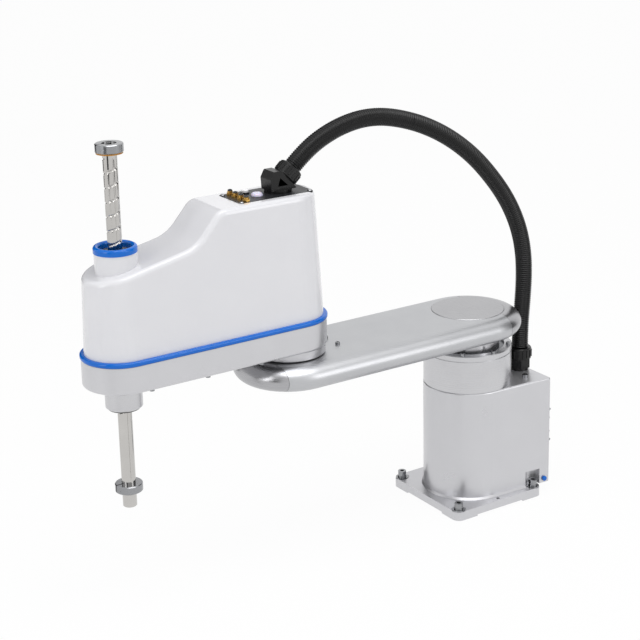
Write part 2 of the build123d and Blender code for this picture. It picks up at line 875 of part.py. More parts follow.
quill_bearing_radius = quill_radius - quill_wall - seat_gap
quill_bearing_low = bearing_at(quill_bottom + quill_floor, quill_bearing_radius)
quill_bearing_high = bearing_at(quill_top - bearing_width, quill_bearing_radius)
screw_bearing = bearing_at(screw_bearing_bottom, screw_bearing_radius - seat_gap)
with BuildPart() as nut_bearings:
    add(quill_bearing_low.part)
    add(quill_bearing_high.part)
    add(screw_bearing.part)
export_piece(nut_bearings, "nut_bearings")

# Spline nut: turns the shaft through three ball rows, in the quill
with BuildPart() as spline_nut:
    with BuildSketch(Plane.XY.offset(quill_bottom + running_gap)):
        with Locations((shaft_x, 0)):
            Circle(nut_radius)
            Circle(shaft_radius + slip_fit, mode=Mode.SUBTRACT)
            with PolarLocations(spline_groove_circle, spline_groove_count):
                Circle(spline_row_radius)
    extrude(amount=spline_nut_top - quill_bottom - running_gap)
    with BuildSketch(Plane.XY.offset(spline_nut_top)):
        with Locations((shaft_x, 0)):
            Circle(nut_flange_radius)
            Circle(shaft_radius + slip_fit, mode=Mode.SUBTRACT)
    extrude(amount=-nut_flange_thick)
export_piece(spline_nut, "spline_nut")


def toothed_pulley(centre_x, bottom_z, radius, teeth, bore):
    """Timing belt pulley with a lip at each end."""
    with BuildPart() as pulley:
        with BuildSketch(Plane.XY.offset(bottom_z)):
            with Locations((centre_x, 0)):
                Circle(radius)
                with PolarLocations(radius, teeth):
                    Circle(pulley_tooth_radius, mode=Mode.SUBTRACT)
        extrude(amount=pulley_height)
        for lip_z in (bottom_z, bottom_z + pulley_height - pulley_flange_thick):
            with BuildSketch(Plane.XY.offset(lip_z)):
                with Locations((centre_x, 0)):
                    Circle(radius + pulley_flange_lip)
            extrude(amount=pulley_flange_thick)
        if bore:
            with BuildSketch(Plane.XY.offset(bottom_z)):
                with Locations((centre_x, 0)):
                    Circle(bore)
            extrude(amount=pulley_height, mode=Mode.SUBTRACT)
        else:
            with BuildSketch(Plane.XY.offset(bottom_z + pulley_height)):
                with Locations((centre_x, 0)):
                    Circle(motor_shaft_radius)
            extrude(amount=motor_plate_gap + motor_plate_thick - running_gap)
    return pulley


def belt_loop(centre_x, bottom_z):
    """Timing belt from a motor pulley round the pulley on the shaft axis."""
    with BuildPart() as belt:
        inner_small = motor_pulley_radius + running_gap
        inner_large = pulley_radius + running_gap
        for grow, keep in ((belt_thick, Mode.ADD), (0, Mode.SUBTRACT)):
            with BuildSketch(Plane.XY.offset(bottom_z + pulley_flange_thick + belt_inset)):
                with Locations((centre_x, 0)):
                    Circle(inner_small + grow)
                with Locations((shaft_x, 0)):
                    Circle(inner_large + grow)
                make_hull()
            extrude(amount=pulley_height - 2 * pulley_flange_thick - 2 * belt_inset, mode=keep)
    return belt


pulley_bore = shaft_radius + pulley_bore_gap
spline_pulley = toothed_pulley(
    shaft_x, spline_nut_top, pulley_radius, pulley_tooth_count, pulley_bore
)
export_piece(spline_pulley, "spline_pulley")

turn_motor_pulley = toothed_pulley(
    turn_motor_x, spline_nut_top, motor_pulley_radius, motor_pulley_teeth, 0
)
export_piece(turn_motor_pulley, "turn_motor_pulley")
export_piece(belt_loop(turn_motor_x, spline_nut_top), "turn_belt")

# Ball screw nut above the spline nut, held by its own bearing and bracket
with BuildPart() as screw_nut:
    with BuildSketch(Plane.XY.offset(screw_bearing_bottom - screw_nut_tail)):
        with Locations((shaft_x, 0)):
            Circle(nut_radius)
    extrude(amount=screw_pulley_bottom - screw_bearing_bottom + screw_nut_tail)
    with BuildSketch(Plane.XY.offset(screw_flange_bottom)):
        with Locations((shaft_x, 0)):
            Circle(nut_flange_radius)
    extrude(amount=nut_flange_thick)
    with BuildSketch(Plane.XY.offset(screw_bearing_bottom - screw_nut_tail)):
        with Locations((shaft_x, 0)):
            Circle(shaft_radius + slip_fit)
    extrude(amount=screw_pulley_top - screw_bearing_bottom, mode=Mode.SUBTRACT)
export_piece(screw_nut, "screw_nut")

screw_pulley = toothed_pulley(
    shaft_x, screw_pulley_bottom, pulley_radius, pulley_tooth_count, pulley_bore
)
export_piece(screw_pulley, "screw_pulley")
lift_motor_pulley = toothed_pulley(
    lift_motor_x, screw_pulley_bottom, motor_pulley_radius, motor_pulley_teeth, 0
)
export_piece(lift_motor_pulley, "lift_motor_pulley")
export_piece(belt_loop(lift_motor_x, screw_pulley_bottom), "lift_belt")

with BuildPart() as screw_bracket:
    bracket_outer = screw_bearing_radius + screw_bracket_wall
    leg_y = bracket_outer + screw_bracket_leg_wide / 2
    with BuildSketch(Plane.XY.offset(screw_bearing_bottom)):
        with Locations((shaft_x, 0)):
            Circle(bracket_outer)
            Rectangle(screw_bracket_leg_long, 2 * leg_y + screw_bracket_leg_wide)
    extrude(amount=bearing_width)
    with BuildSketch(Plane.XY.offset(casting_floor_top)):
        with Locations((shaft_x, leg_y), (shaft_x, -leg_y)):
            Rectangle(screw_bracket_leg_long, screw_bracket_leg_wide)
    extrude(amount=screw_bearing_bottom - casting_floor_top)
    with BuildSketch(Plane.XY.offset(screw_bearing_bottom)):
        with Locations((shaft_x, 0)):
            Circle(screw_bearing_radius)
    extrude(amount=bearing_width, mode=Mode.SUBTRACT)
    with BuildSketch(Plane.XY.offset(screw_bearing_bottom)):
        with Locations((shaft_x, 0)):
            Circle(bracket_outer)
            Circle(nut_radius + screw_lip, mode=Mode.SUBTRACT)
    extrude(amount=-screw_lip)
export_piece(screw_bracket, "screw_bracket")


def motor_bracket(centre_x, plate_z):
    """Motor plate on four posts that stand on the casting's floor."""
    with BuildPart() as bracket:
        with BuildSketch(Plane.XY.offset(plate_z)):
            with Locations((centre_x, 0)):
                RectangleRounded(
                    2 * (motor_post_x + motor_post_radius),
                    2 * (motor_post_y + motor_post_radius),
                    motor_post_radius,
                )
                Circle(motor_shaft_radius + running_gap, mode=Mode.SUBTRACT)
        extrude(amount=motor_plate_thick)
        with BuildSketch(Plane.XY.offset(casting_floor_top)):
            with Locations((centre_x, 0)):
                with GridLocations(2 * motor_post_x, 2 * motor_post_y, 2, 2):
                    Circle(motor_post_radius)
        extrude(amount=plate_z - casting_floor_top)
    return bracket


def servo_motor(centre_x, seat_z, length):
    """Square servo motor with its flange and its rounded rear cap."""
    with BuildPart() as motor:
        with BuildSketch(Plane.XY.offset(seat_z)):
            with Locations((centre_x, 0)):
                RectangleRounded(small_motor_size, small_motor_size, motor_post_radius)
        extrude(amount=length)
        chamfer(motor.faces().sort_by(Axis.Z)[-1].edges(), motor_flange_thick / 4)
        with BuildSketch(Plane.XY.offset(seat_z)):
            with Locations((centre_x, 0)):
                Circle(motor_shaft_radius + running_gap)
        extrude(amount=motor_flange_thick, mode=Mode.SUBTRACT)
    return motor


turn_plate_z = spline_nut_top + pulley_height + motor_plate_gap
lift_plate_z = screw_pulley_top + motor_plate_gap
turn_motor_bracket = motor_bracket(turn_motor_x, turn_plate_z)
lift_motor_bracket = motor_bracket(lift_motor_x, lift_plate_z)
with BuildPart() as motor_brackets:
    add(turn_motor_bracket.part)
    add(lift_motor_bracket.part)
export_piece(motor_brackets, "motor_brackets")
turn_motor_seat = turn_plate_z + motor_plate_thick
lift_motor_seat = lift_plate_z + motor_plate_thick
export_piece(servo_motor(turn_motor_x, turn_motor_seat, turn_motor_length), "turn_motor")
export_piece(servo_motor(lift_motor_x, lift_motor_seat, lift_motor_length), "lift_motor")

# Tool shaft: hollow ground shaft with three ball spline grooves
with BuildPart() as tool_shaft:
    with BuildSketch(Plane.XY.offset(shaft_bottom)):
        with Locations((shaft_x, 0)):
            Circle(shaft_radius)
    extrude(amount=shaft_length)
    chamfer(tool_shaft.faces().filter_by(Plane.XY).edges(), shaft_edge)
    with BuildSketch(Plane.XY.offset(shaft_bottom)):
        with Locations((shaft_x, 0)):
            Circle(shaft_bore)
    extrude(amount=shaft_length, mode=Mode.SUBTRACT)
    groove_bottom = lower_collar_top + shaft_radius
    groove_top_z = upper_collar_top - upper_collar_height - bumper_height - shaft_edge
    with BuildSketch(Plane.XY.offset(groove_bottom)):
        with Locations((shaft_x, 0)):
            with PolarLocations(spline_groove_circle, spline_groove_count):
                Circle(spline_groove_radius)
    extrude(amount=groove_top_z - groove_bottom, mode=Mode.SUBTRACT)
    with BuildSketch(Plane.XY.offset(shaft_bottom + shaft_edge + tool_end_length)):
        with Locations((shaft_x, 0)):
            Circle(shaft_radius + relief_depth)
            Circle(shaft_radius - relief_depth, mode=Mode.SUBTRACT)
    extrude(amount=relief_width, mode=Mode.SUBTRACT)
export_piece(tool_shaft, "tool_shaft")


def split_collar(top_z, radius, height):
    """Clamp collar with a slot and a cross hole for its screw."""
    with BuildPart() as collar:
        with BuildSketch(Plane.XY.offset(top_z)):
            with Locations((shaft_x, 0)):
                Circle(radius)
                Circle(shaft_radius + seat_gap, mode=Mode.SUBTRACT)
        extrude(amount=-height)
        chamfer(collar.edges().filter_by(GeomType.CIRCLE).group_by(Edge.length)[-1], collar_edge)
        with BuildSketch(Plane.XY.offset(top_z)):
            with Locations((shaft_x + radius / 2, 0)):
                Rectangle(radius, collar_slot)
        extrude(amount=-height, mode=Mode.SUBTRACT)
        with BuildSketch(collar_screw_plane(top_z, height)):
            Circle(collar_screw_radius)
        extrude(amount=-collar_screw_length - 2 * collar_slot, mode=Mode.SUBTRACT)
    return collar


def collar_screw_plane(top_z, height):
    """Head face of a collar's clamp screw, beside the slot."""
    head_y = collar_screw_length / 2 + collar_slot
    head_x = shaft_x + (shaft_radius + upper_collar_radius) / 2
    return Plane(
        origin=(head_x, head_y, top_z - height / 2), x_dir=(0, 0, 1), z_dir=(0, 1, 0)
    )


upper_collar = split_collar(upper_collar_top, upper_collar_radius, upper_collar_height)
lower_collar = split_collar(lower_collar_top, lower_collar_radius, lower_collar_height)
with BuildPart() as shaft_collars:
    add(upper_collar.part)
    add(lower_collar.part)
export_piece(shaft_collars, "shaft_collars")

with BuildPart() as collar_screws:
    for top_z, height in (
        (upper_collar_top, upper_collar_height),
        (lower_collar_top, lower_collar_height),
    ):
        with BuildSketch(collar_screw_plane(top_z, height)):
            Circle(collar_screw_radius - seat_gap)
        extrude(amount=-collar_screw_length)
        with BuildSketch(collar_screw_plane(top_z, height)):
            RegularPolygon(small_socket_radius, 6)
        extrude(amount=-small_socket_depth, mode=Mode.SUBTRACT)
export_piece(collar_screws, "collar_screws")

bumper_top = upper_collar_top - upper_collar_height
with BuildPart() as stop_bumper:
    with BuildSketch(Plane.XY.offset(bumper_top)):
        with Locations((shaft_x, 0)):
            Circle(upper_collar_radius - collar_edge)
            Circle(shaft_radius + seat_gap, mode=Mode.SUBTRACT)
    extrude(amount=-bumper_height)
export_piece(stop_bumper, "stop_bumper")

# Shaft seal in the mouth of the quill
with BuildPart() as quill_seal:
    with BuildSketch(shaft_section):
        with BuildLine():
            lip = shaft_radius + slip_fit
            seal_outer = quill_radius - quill_edge - 1
            Polyline(
                (lip, quill_bottom - 2),
                (seal_outer - 1, quill_bottom - 2),
                (seal_outer, quill_bottom),
                (lip, quill_bottom),
                close=True,
            )
        make_face()
    revolve(axis=shaft_axis)
export_piece(quill_seal, "quill_seal")

# Top panel: dark plate on the cover, with its screws, air fittings, lamp and brake button
with BuildPart() as top_panel:
    with BuildSketch(Plane.XY.offset(panel_seat_z)):
        with Locations((panel_mid_x, 0)):
            RectangleRounded(panel_length, panel_width, panel_corner)
        with Locations((button_x, button_y)):
            Circle(button_stem_radius + slip_fit, mode=Mode.SUBTRACT)
    extrude(amount=panel_thick)
    with BuildSketch(Plane.XY.offset(cover_top)):
        with Locations((button_x, button_y)):
            Circle(button_radius + button_bezel)
            Circle(button_radius + running_gap, mode=Mode.SUBTRACT)
    extrude(amount=button_bezel_height)
export_piece(top_panel, "top_panel")

panel_screw_x = panel_length / 2 - panel_screw_inset
panel_screw_y = panel_width / 2 - panel_screw_inset
panel_screw_spots = [
    (panel_mid_x + x, y)
    for x in (-panel_screw_x, panel_screw_x)
    for y in (-panel_screw_y, panel_screw_y)
]
with BuildPart() as panel_screws:
    with BuildSketch(Plane.XY.offset(cover_top)):
        with Locations(*panel_screw_spots):
            Circle(small_head_radius)
    extrude(amount=small_head_height / 2)
    chamfer(panel_screws.faces().group_by(Axis.Z)[-1].edges(), small_head_height / 4)
    with BuildSketch(Plane.XY.offset(cover_top + small_head_height / 4)):
        with Locations(*panel_screw_spots):
            RegularPolygon(small_socket_radius, 6)
    extrude(amount=small_head_height, mode=Mode.SUBTRACT)
export_piece(panel_screws, "panel_screws")

fitting_half = (fitting_count - 1) / 2
fitting_spots = [(fitting_x, (index - fitting_half) * fitting_pitch) for index in range(fitting_count)]
with BuildPart() as air_fittings:
    with BuildSketch(Plane.XY.offset(cover_top)):
        with Locations(*fitting_spots):
            RegularPolygon(fitting_radius + button_bezel, 6)
    extrude(amount=fitting_height / 2)
    with BuildSketch(Plane.XY.offset(cover_top)):
        with Locations(*fitting_spots):
            Circle(fitting_radius)
    extrude(amount=fitting_height)
    with BuildSketch(Plane.XY.offset(cover_top)):
        with Locations(*fitting_spots):
            Circle(tube_port_radius)
    extrude(amount=fitting_height, mode=Mode.SUBTRACT)
export_piece(air_fittings, "air_fittings")

fitting_top = cover_top + fitting_height
with BuildPart() as release_collars:
    with BuildSketch(Plane.XY.offset(fitting_top)):
        with Locations(*fitting_spots):
            Circle(collar_ring_radius)
            Circle(tube_port_radius, mode=Mode.SUBTRACT)
    extrude(amount=collar_ring_height)
    chamfer(release_collars.faces().group_by(Axis.Z)[-1].edges().group_by(Edge.length)[-1], seam)
export_piece(release_collars, "release_collars")

with BuildPart() as status_lamp:
    with BuildSketch(Plane.XY.offset(cover_top)):
        with Locations((lamp_x, lamp_y)):
            Circle(lamp_radius)
    extrude(amount=lamp_height)
    fillet(status_lamp.faces().sort_by(Axis.Z)[-1].edges(), lamp_round)
export_piece(status_lamp, "status_lamp")

button_rest_z = cover_top + button_travel + running_gap
with BuildPart() as brake_button:
    with BuildSketch(Plane.XY.offset(button_rest_z)):
        with Locations((button_x, button_y)):
            Circle(button_radius)
    extrude(amount=button_height)
    chamfer(brake_button.faces().sort_by(Axis.Z)[-1].edges(), collar_edge)
    with BuildSketch(Plane.XY.offset(button_rest_z)):
        with Locations((button_x, button_y)):
            Circle(button_stem_radius)
    extrude(amount=-button_stem - button_travel)
export_piece(brake_button, "brake_button")

# Gland and hose nut on the base: the gland's tail stands in the nut
with BuildPart() as base_gland:
    with BuildSketch(Plane.XY.offset(column_top)):
        with Locations((gland_x, gland_y)):
            Circle(gland_neck_radius)
    extrude(amount=gland_neck_height)
    with BuildSketch(Plane.XY.offset(gland_hex_bottom)):
        with Locations((gland_x, gland_y)):
            RegularPolygon(gland_hex_radius, 6)
    extrude(amount=gland_hex_height)
    with BuildSketch(Plane.XY.offset(column_top - column_wall)):
        with Locations((gland_x, gland_y)):
            Circle(gland_stub_radius)
    extrude(amount=column_wall)
    with BuildSketch(Plane.XY.offset(gland_nut_bottom)):
        with Locations((gland_x, gland_y)):
            Circle(gland_stub_radius - seat_gap)
    extrude(amount=gland_nut_height - seam)
export_piece(base_gland, "base_gland")


def ribbed_nut(seat, length):
    """Round union nut with gripping ribs, standing on a plane."""
    nut_body_radius = gland_nut_radius - gland_rib_radius
    with BuildPart() as nut:
        with BuildSketch(seat):
            Circle(nut_body_radius)
        extrude(amount=length)
        chamfer(nut.edges().filter_by(GeomType.CIRCLE), collar_edge)
        with BuildSketch(seat.offset(gland_rib_inset)):
            with PolarLocations(nut_body_radius, gland_rib_count):
                Circle(gland_rib_radius)
        extrude(amount=length - 2 * gland_rib_inset)
        with BuildSketch(seat):
            Circle(gland_stub_radius)
        extrude(amount=length, mode=Mode.SUBTRACT)
    return nut


base_gland_nut = ribbed_nut(Plane(origin=(gland_x, gland_y, gland_nut_bottom)), gland_nut_height)
export_piece(base_gland_nut, "base_gland_nut")

# Elbow connector on the top panel, leaning back along the hose's last run
elbow_top = Vector(*hose_upper_points[-1])
elbow_lean = (Vector(*hose_upper_points[-2]) - elbow_top).normalized()
elbow_across = Vector(elbow_lean.Z, 0, -elbow_lean.X)
elbow_nut_seat = Plane(
    origin=elbow_top - elbow_lean * elbow_nut_length, x_dir=(0, 1, 0), z_dir=elbow_lean
)
elbow_connector_nut = ribbed_nut(elbow_nut_seat, elbow_nut_length)
export_piece(elbow_connector_nut, "elbow_connector_nut")

seat_reach = gland_nut_radius - gland_rib_radius
nut_high = elbow_nut_seat.origin + elbow_across * seat_reach
nut_low = elbow_nut_seat.origin - elbow_across * seat_reach
flange_top = cover_top + elbow_flange_height
elbow_back_x = elbow_x_seat + elbow_flange_radius
with BuildPart() as elbow_connector:
    with BuildSketch(Plane.XZ):
        with BuildLine():
            Polyline(
                (nut_low.X, nut_low.Z),
                (elbow_x_seat - elbow_flange_radius, flange_top - collar_edge),
                (elbow_back_x - collar_edge, flange_top - collar_edge),
                (elbow_back_x, flange_top + elbow_back_height),
                (elbow_back_x - elbow_shoulder, nut_high.Z),
                (nut_high.X, nut_high.Z),
                close=True,
            )
        make_face()
    extrude(amount=elbow_body_half, both=True)
    fillet(elbow_connector.edges().filter_by(Axis.Y).group_by(Axis.X)[-1], elbow_round)
    chamfer(elbow_connector.faces().filter_by(Plane.XZ).edges().sort_by(Axis.Z)[-1:], collar_edge)
    with BuildSketch(Plane.XY.offset(cover_top)):
        with Locations((elbow_x_seat, 0)):
            Circle(elbow_flange_radius)
    extrude(amount=elbow_flange_height)
    with BuildSketch(Plane.XZ):
        with BuildLine():
            Polyline(
                (elbow_x_seat - elbow_window_width / 2, flange_top + elbow_window_rise),
                (elbow_x_seat + elbow_window_width / 2, flange_top + elbow_window_rise),
                (elbow_x_seat + elbow_window_width / 4, flange_top + elbow_window_height),
                close=True,
            )
        make_face()
    extrude(amount=elbow_body_half, both=True, mode=Mode.SUBTRACT)
    with BuildSketch(elbow_nut_seat):
        Circle(gland_stub_radius - seat_gap)
    extrude(amount=elbow_nut_length - seam)
export_piece(elbow_connector, "elbow_connector")


def hose_radii(points):
    """Bend radius at each inner point: 0.45 of the shorter run over the tangent of half the turn."""
    radii = []
    for before, corner, after in zip(points, points[1:], points[2:]):
        run_in = Vector(*corner) - Vector(*before)
        run_out = Vector(*after) - Vector(*corner)
        turn = math.radians(run_in.get_angle(run_out))
        radii.append(0.45 * min(run_in.length, run_out.length) / math.tan(turn / 2))
    return radii


for hose_name, hose_points in (("hose_lower", hose_lower_points), ("hose_upper", hose_upper_points)):
    bend_radii = hose_radii(hose_points)
    with BuildPart() as hose:
        with BuildLine():
            route = FilletPolyline(*hose_points, radius=bend_radii)
        start_run = Vector(*hose_points[1]) - Vector(*hose_points[0])
        with BuildSketch(Plane(origin=hose_points[0], z_dir=start_run)):
            Circle(hose_radius)
        sweep()
    export_piece(hose, hose_name)
    section_volume = math.pi * hose_radius**2 * route.length
    print(hose_name, "radii", [round(radius) for radius in bend_radii])
    print(hose_name, "length", round(route.length, 1), "volume", round(hose.part.volume / section_volume, 4))

# Rear connector: bulkhead housing with contact insert, screws and two locking levers
rear_face = Plane(origin=(-column_rear, connector_y, connector_z), x_dir=(0, 1, 0), z_dir=(-1, 0, 0))
flange_spots = [
    (x, y)
    for x in (-connector_flange_width / 2 + 5, connector_flange_width / 2 - 5)
    for y in (-connector_flange_height / 2 + 5, connector_flange_height / 2 - 5)
]
with BuildPart() as connector_housing:
    with BuildSketch(rear_face):
        RectangleRounded(connector_flange_width, connector_flange_height, 4)
    extrude(amount=connector_flange_thick)
    with BuildSketch(rear_face):
        RectangleRounded(connector_width, connector_height, 3)
    extrude(amount=connector_depth)
    with BuildSketch(rear_face.offset(connector_flange_thick)):
        RectangleRounded(
            connector_width - 2 * connector_wall, connector_height - 2 * connector_wall, 1.5
        )
    extrude(amount=connector_depth, mode=Mode.SUBTRACT)
    for lever_side in (-1, 1):
        lever_pivot = (
            -column_rear - lever_pivot_reach,
            connector_y,
            connector_z + lever_side * lever_pivot_offset,
        )
        with BuildSketch(Plane(origin=lever_pivot, z_dir=(0, 1, 0))):
            Circle(lever_pin_radius)
        extrude(amount=connector_width / 2 + lever_thick + 3 * running_gap, both=True)
    with BuildSketch(rear_face.offset(connector_flange_thick)):
        RectangleRounded(
            connector_width - 2 * connector_wall, connector_height - 2 * connector_wall, 1.5
        )
    extrude(amount=connector_depth, mode=Mode.SUBTRACT)
export_piece(connector_housing, "connector_housing")

with BuildPart() as connector_insert:
    with BuildSketch(rear_face.offset(connector_flange_thick)):
        RectangleRounded(
            connector_width - 2 * connector_wall - running_gap,
            connector_height - 2 * connector_wall - running_gap,
            1.5,
        )
    extrude(amount=connector_insert_depth)
    with BuildSketch(rear_face.offset(connector_flange_thick + connector_insert_depth)):
        with GridLocations(2 * connector_pin_pitch, connector_pin_pitch, 2, 5):
            Circle(connector_pin_radius)
    extrude(amount=connector_pin_rise)
export_piece(connector_insert, "connector_insert")

with BuildPart() as connector_screws:
    with BuildSketch(rear_face.offset(connector_flange_thick)):
        with Locations(*flange_spots):
            Circle(connector_screw_radius)
    extrude(amount=connector_screw_rise)
    with BuildSketch(rear_face.offset(connector_flange_thick + connector_screw_rise)):
        with Locations(*flange_spots):
            RegularPolygon(small_socket_radius - seam, 6)
    extrude(amount=-small_socket_depth, mode=Mode.SUBTRACT)
export_piece(connector_screws, "connector_screws")

claw_outline = [
    (-7, -5),
    (6, -9),
    (15, -6),
    (14, -1),
    (9, 0),
    (8, 4),
    (13, 6),
    (17, 10),
    (13, 14),
    (2, 12),
    (-6, 5),
]
plate_reach = connector_width / 2 + running_gap
for lever_name, lever_side in (("lever_lower", -1), ("lever_upper", 1)):
    lever_plane = Plane(
        origin=(
            -column_rear - lever_pivot_reach,
            connector_y,
            connector_z + lever_side * lever_pivot_offset,
        ),
        x_dir=(-1, 0, 0),
        z_dir=(0, lever_side, 0),
    )
    with BuildPart() as lever:
        with BuildSketch(lever_plane):
            with BuildLine():
                Polyline(*claw_outline, close=True)
            make_face()
            Circle(lever_pin_radius + slip_fit, mode=Mode.SUBTRACT)
        extrude(amount=plate_reach + lever_thick, both=True)
        with BuildSketch(lever_plane):
            Circle(connector_depth)
            with Locations((lever_bar_u, lever_bar_w)):
                Rectangle(lever_bar_depth, lever_bar_depth, mode=Mode.SUBTRACT)
        extrude(amount=plate_reach, both=True, mode=Mode.SUBTRACT)
    export_piece(lever, lever_name)
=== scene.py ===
# %% [markdown]
# # A four axis SCARA robot, dressed for a studio photograph
#
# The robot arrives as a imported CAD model: solids that already have their true shapes and places.
# This lesson gives them their finishes, adds what only a mesh can show well, such as the ribs of
# the hose and the grooves of the shaft, and sets up the camera, the light and the floor.
# Lengths are in metres, +Z points up, and the robot's base stands round the origin.

import json
import math

import bpy
from mathutils import Matrix, Vector


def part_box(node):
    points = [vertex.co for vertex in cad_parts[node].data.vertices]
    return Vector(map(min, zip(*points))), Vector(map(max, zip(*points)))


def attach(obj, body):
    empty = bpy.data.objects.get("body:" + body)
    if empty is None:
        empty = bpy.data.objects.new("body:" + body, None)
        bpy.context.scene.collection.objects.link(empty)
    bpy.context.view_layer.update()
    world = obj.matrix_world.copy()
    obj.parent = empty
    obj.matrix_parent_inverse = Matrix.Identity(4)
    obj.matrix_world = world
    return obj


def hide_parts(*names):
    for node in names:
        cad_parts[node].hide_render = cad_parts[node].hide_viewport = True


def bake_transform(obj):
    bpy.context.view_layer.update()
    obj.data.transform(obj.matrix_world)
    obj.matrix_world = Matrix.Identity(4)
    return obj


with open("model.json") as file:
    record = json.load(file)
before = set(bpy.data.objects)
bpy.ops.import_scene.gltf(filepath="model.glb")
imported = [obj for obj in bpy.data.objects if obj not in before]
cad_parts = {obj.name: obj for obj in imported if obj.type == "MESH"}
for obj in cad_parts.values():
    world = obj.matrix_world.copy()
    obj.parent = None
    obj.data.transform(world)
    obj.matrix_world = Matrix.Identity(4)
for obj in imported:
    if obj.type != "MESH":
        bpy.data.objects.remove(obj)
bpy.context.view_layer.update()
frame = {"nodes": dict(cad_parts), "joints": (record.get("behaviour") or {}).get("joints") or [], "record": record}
nodes = frame["nodes"]
slot_of = {part["node"]: part["material_slot"] for part in frame["record"]["subparts"]}
hinges = [joint for joint in frame["joints"] if joint["type"] == "hinge"]
axis_at = {hinge["name"]: tuple(hinge["pos_m"][:2]) for hinge in hinges}

# %% [markdown]
# ## Small helpers
#
# Every colour below is a hex value that was read, written the way a paint chart gives it, and
# one function turns it into the linear light values that Blender works with. A second function
# adds a node to any tree: a value given as a socket becomes a link, and any other value is set.
# Wiring each node by hand would work as well, but it takes three lines where this takes one.

# %% Colour and node helpers
MM = 0.001
WHITE = "#FFFFFF"


def linear(hex_colour):
    """Linear colour, with alpha 1, of an sRGB hex value."""
    shares = [int(hex_colour[i : i + 2], 16) / 255 for i in (1, 3, 5)]
    bent = [s / 12.92 if s <= 0.04045 else ((s + 0.055) / 1.055) ** 2.4 for s in shares]
    return (*bent, 1.0)


def add_node(tree, kind, inputs=None, **settings):
    """A new node with its settings, input values and incoming links."""
    node = tree.nodes.new(kind)
    for name, value in settings.items():
        setattr(node, name, value)
    for socket, value in (inputs or {}).items():
        if isinstance(value, bpy.types.NodeSocket):
            tree.links.new(value, node.inputs[socket])
        else:
            node.inputs[socket].default_value = value
    return node


def empty_tree(owner):
    """The node tree of a material or a world, with its nodes cleared."""
    owner.use_nodes = True
    owner.node_tree.nodes.clear()
    return owner.node_tree


def link_object(name, data):
    """A new object with the given data, linked to the scene."""
    thing = bpy.data.objects.new(name, data)
    bpy.context.scene.collection.objects.link(thing)
    return thing


print("helpers ready, for example #808080 is", round(linear("#808080")[0], 3))

# %% [markdown]
# ## The camera
#
# The photograph is taken from in front of the tool side, a little above the arm. A camera was
# fitted to about sixty points of the robot, which gives its place, its turn and its focal length.
# The picture's middle lies below the lens axis, so the lens is shifted down a little, as an
# architect's camera is. Tipping the camera further down instead would make the column lean.

# %% Camera
FRAME_PX = 640
SENSOR_MM = 36.0
FOCAL_PX, SHIFT_PX = 1617.32, 77.0
YAW, PITCH, ROLL = 4.14, 0.2817, 0.0225
CAMERA_AT = Vector((1.49773, 1.90113, 1.11938))

forward = Vector((
    math.cos(YAW) * math.cos(PITCH),
    math.sin(YAW) * math.cos(PITCH),
    -math.sin(PITCH),
))
level_right = Vector((math.sin(YAW), -math.cos(YAW), 0.0))
level_down = forward.cross(level_right)
right = math.cos(ROLL) * level_right + math.sin(ROLL) * level_down
down = -math.sin(ROLL) * level_right + math.cos(ROLL) * level_down

lens = bpy.data.cameras.new("studio_camera")
lens.sensor_width = SENSOR_MM
lens.sensor_fit = "HORIZONTAL"
lens.lens = FOCAL_PX / FRAME_PX * SENSOR_MM
lens.shift_y = -SHIFT_PX / FRAME_PX
camera = link_object("studio_camera", lens)
turn = Matrix((right, -down, -forward)).transposed()
camera.matrix_world = Matrix.Translation(CAMERA_AT) @ turn.to_4x4()
bpy.context.scene.camera = camera
print("focal length", round(lens.lens, 1), "mm, shift", round(lens.shift_y, 3))

# %% [markdown]
# ## Light and background
#
# A product photograph like this is lit by large soft boxes in a white tent. The world is an even
# soft light, and it is plain white to the camera and to whatever the metal reflects. Three area
# lamps give the long soft highlights: one above, and one at each side of the camera. The lamps
# could do it alone, but then each shadow would be deeper than the photograph's.

# %% World
SKY_LIGHT = 0.62

bpy.context.scene.view_settings.view_transform = "Standard"
world = bpy.data.worlds.new("white_tent")
bpy.context.scene.world = world
tree = empty_tree(world)
ray = add_node(tree, "ShaderNodeLightPath").outputs
seen = add_node(tree, "ShaderNodeMath", {0: ray["Is Camera Ray"], 1: ray["Is Glossy Ray"]},
                operation="MAXIMUM")
seen = add_node(tree, "ShaderNodeMath", {0: seen.outputs[0], 1: ray["Is Transmission Ray"]},
                operation="MAXIMUM")
strength = add_node(tree, "ShaderNodeMapRange",
                    {"Value": seen.outputs[0], "To Min": SKY_LIGHT, "To Max": 1.0})
tent = add_node(tree, "ShaderNodeBackground",
                {"Color": linear(WHITE), "Strength": strength.outputs["Result"]})
add_node(tree, "ShaderNodeOutputWorld", {"Surface": tent.outputs["Background"]})
print("world gives", SKY_LIGHT, "of white as light")

# %% Soft boxes
MIDDLE = Vector((0.27, 0.0, 0.35))


def soft_box(name, place, width, height, watts):
    """An area lamp that faces the middle of the robot."""
    lamp = bpy.data.lights.new(name, "AREA")
    lamp.shape = "RECTANGLE"
    lamp.size, lamp.size_y = width, height
    lamp.energy = watts
    holder = link_object(name, lamp)
    holder.location = place
    holder.rotation_euler = (MIDDLE - Vector(place)).to_track_quat("-Z", "Y").to_euler()


soft_box("overhead_box", place=(0.3, 0.5, 2.3), width=1.6, height=1.2, watts=20)
soft_box("left_box", place=(2.3, 0.4, 1.1), width=0.7, height=1.6, watts=9)
soft_box("right_box", place=(-0.9, 2.2, 1.2), width=0.7, height=1.6, watts=9)
print("three soft boxes hung")

# %% [markdown]
# ## Black cards
#
# Metal looks flat in a plain white tent, because it mirrors white all over. Photographers stand
# black cards round it, just out of the picture, and their reflections draw the dark soft bands
# that tell the eye it is metal. Painting such bands on the metal would be wrong from every other
# side. The cards here are seen by reflections only: they throw no shadow and the camera looks
# through them.

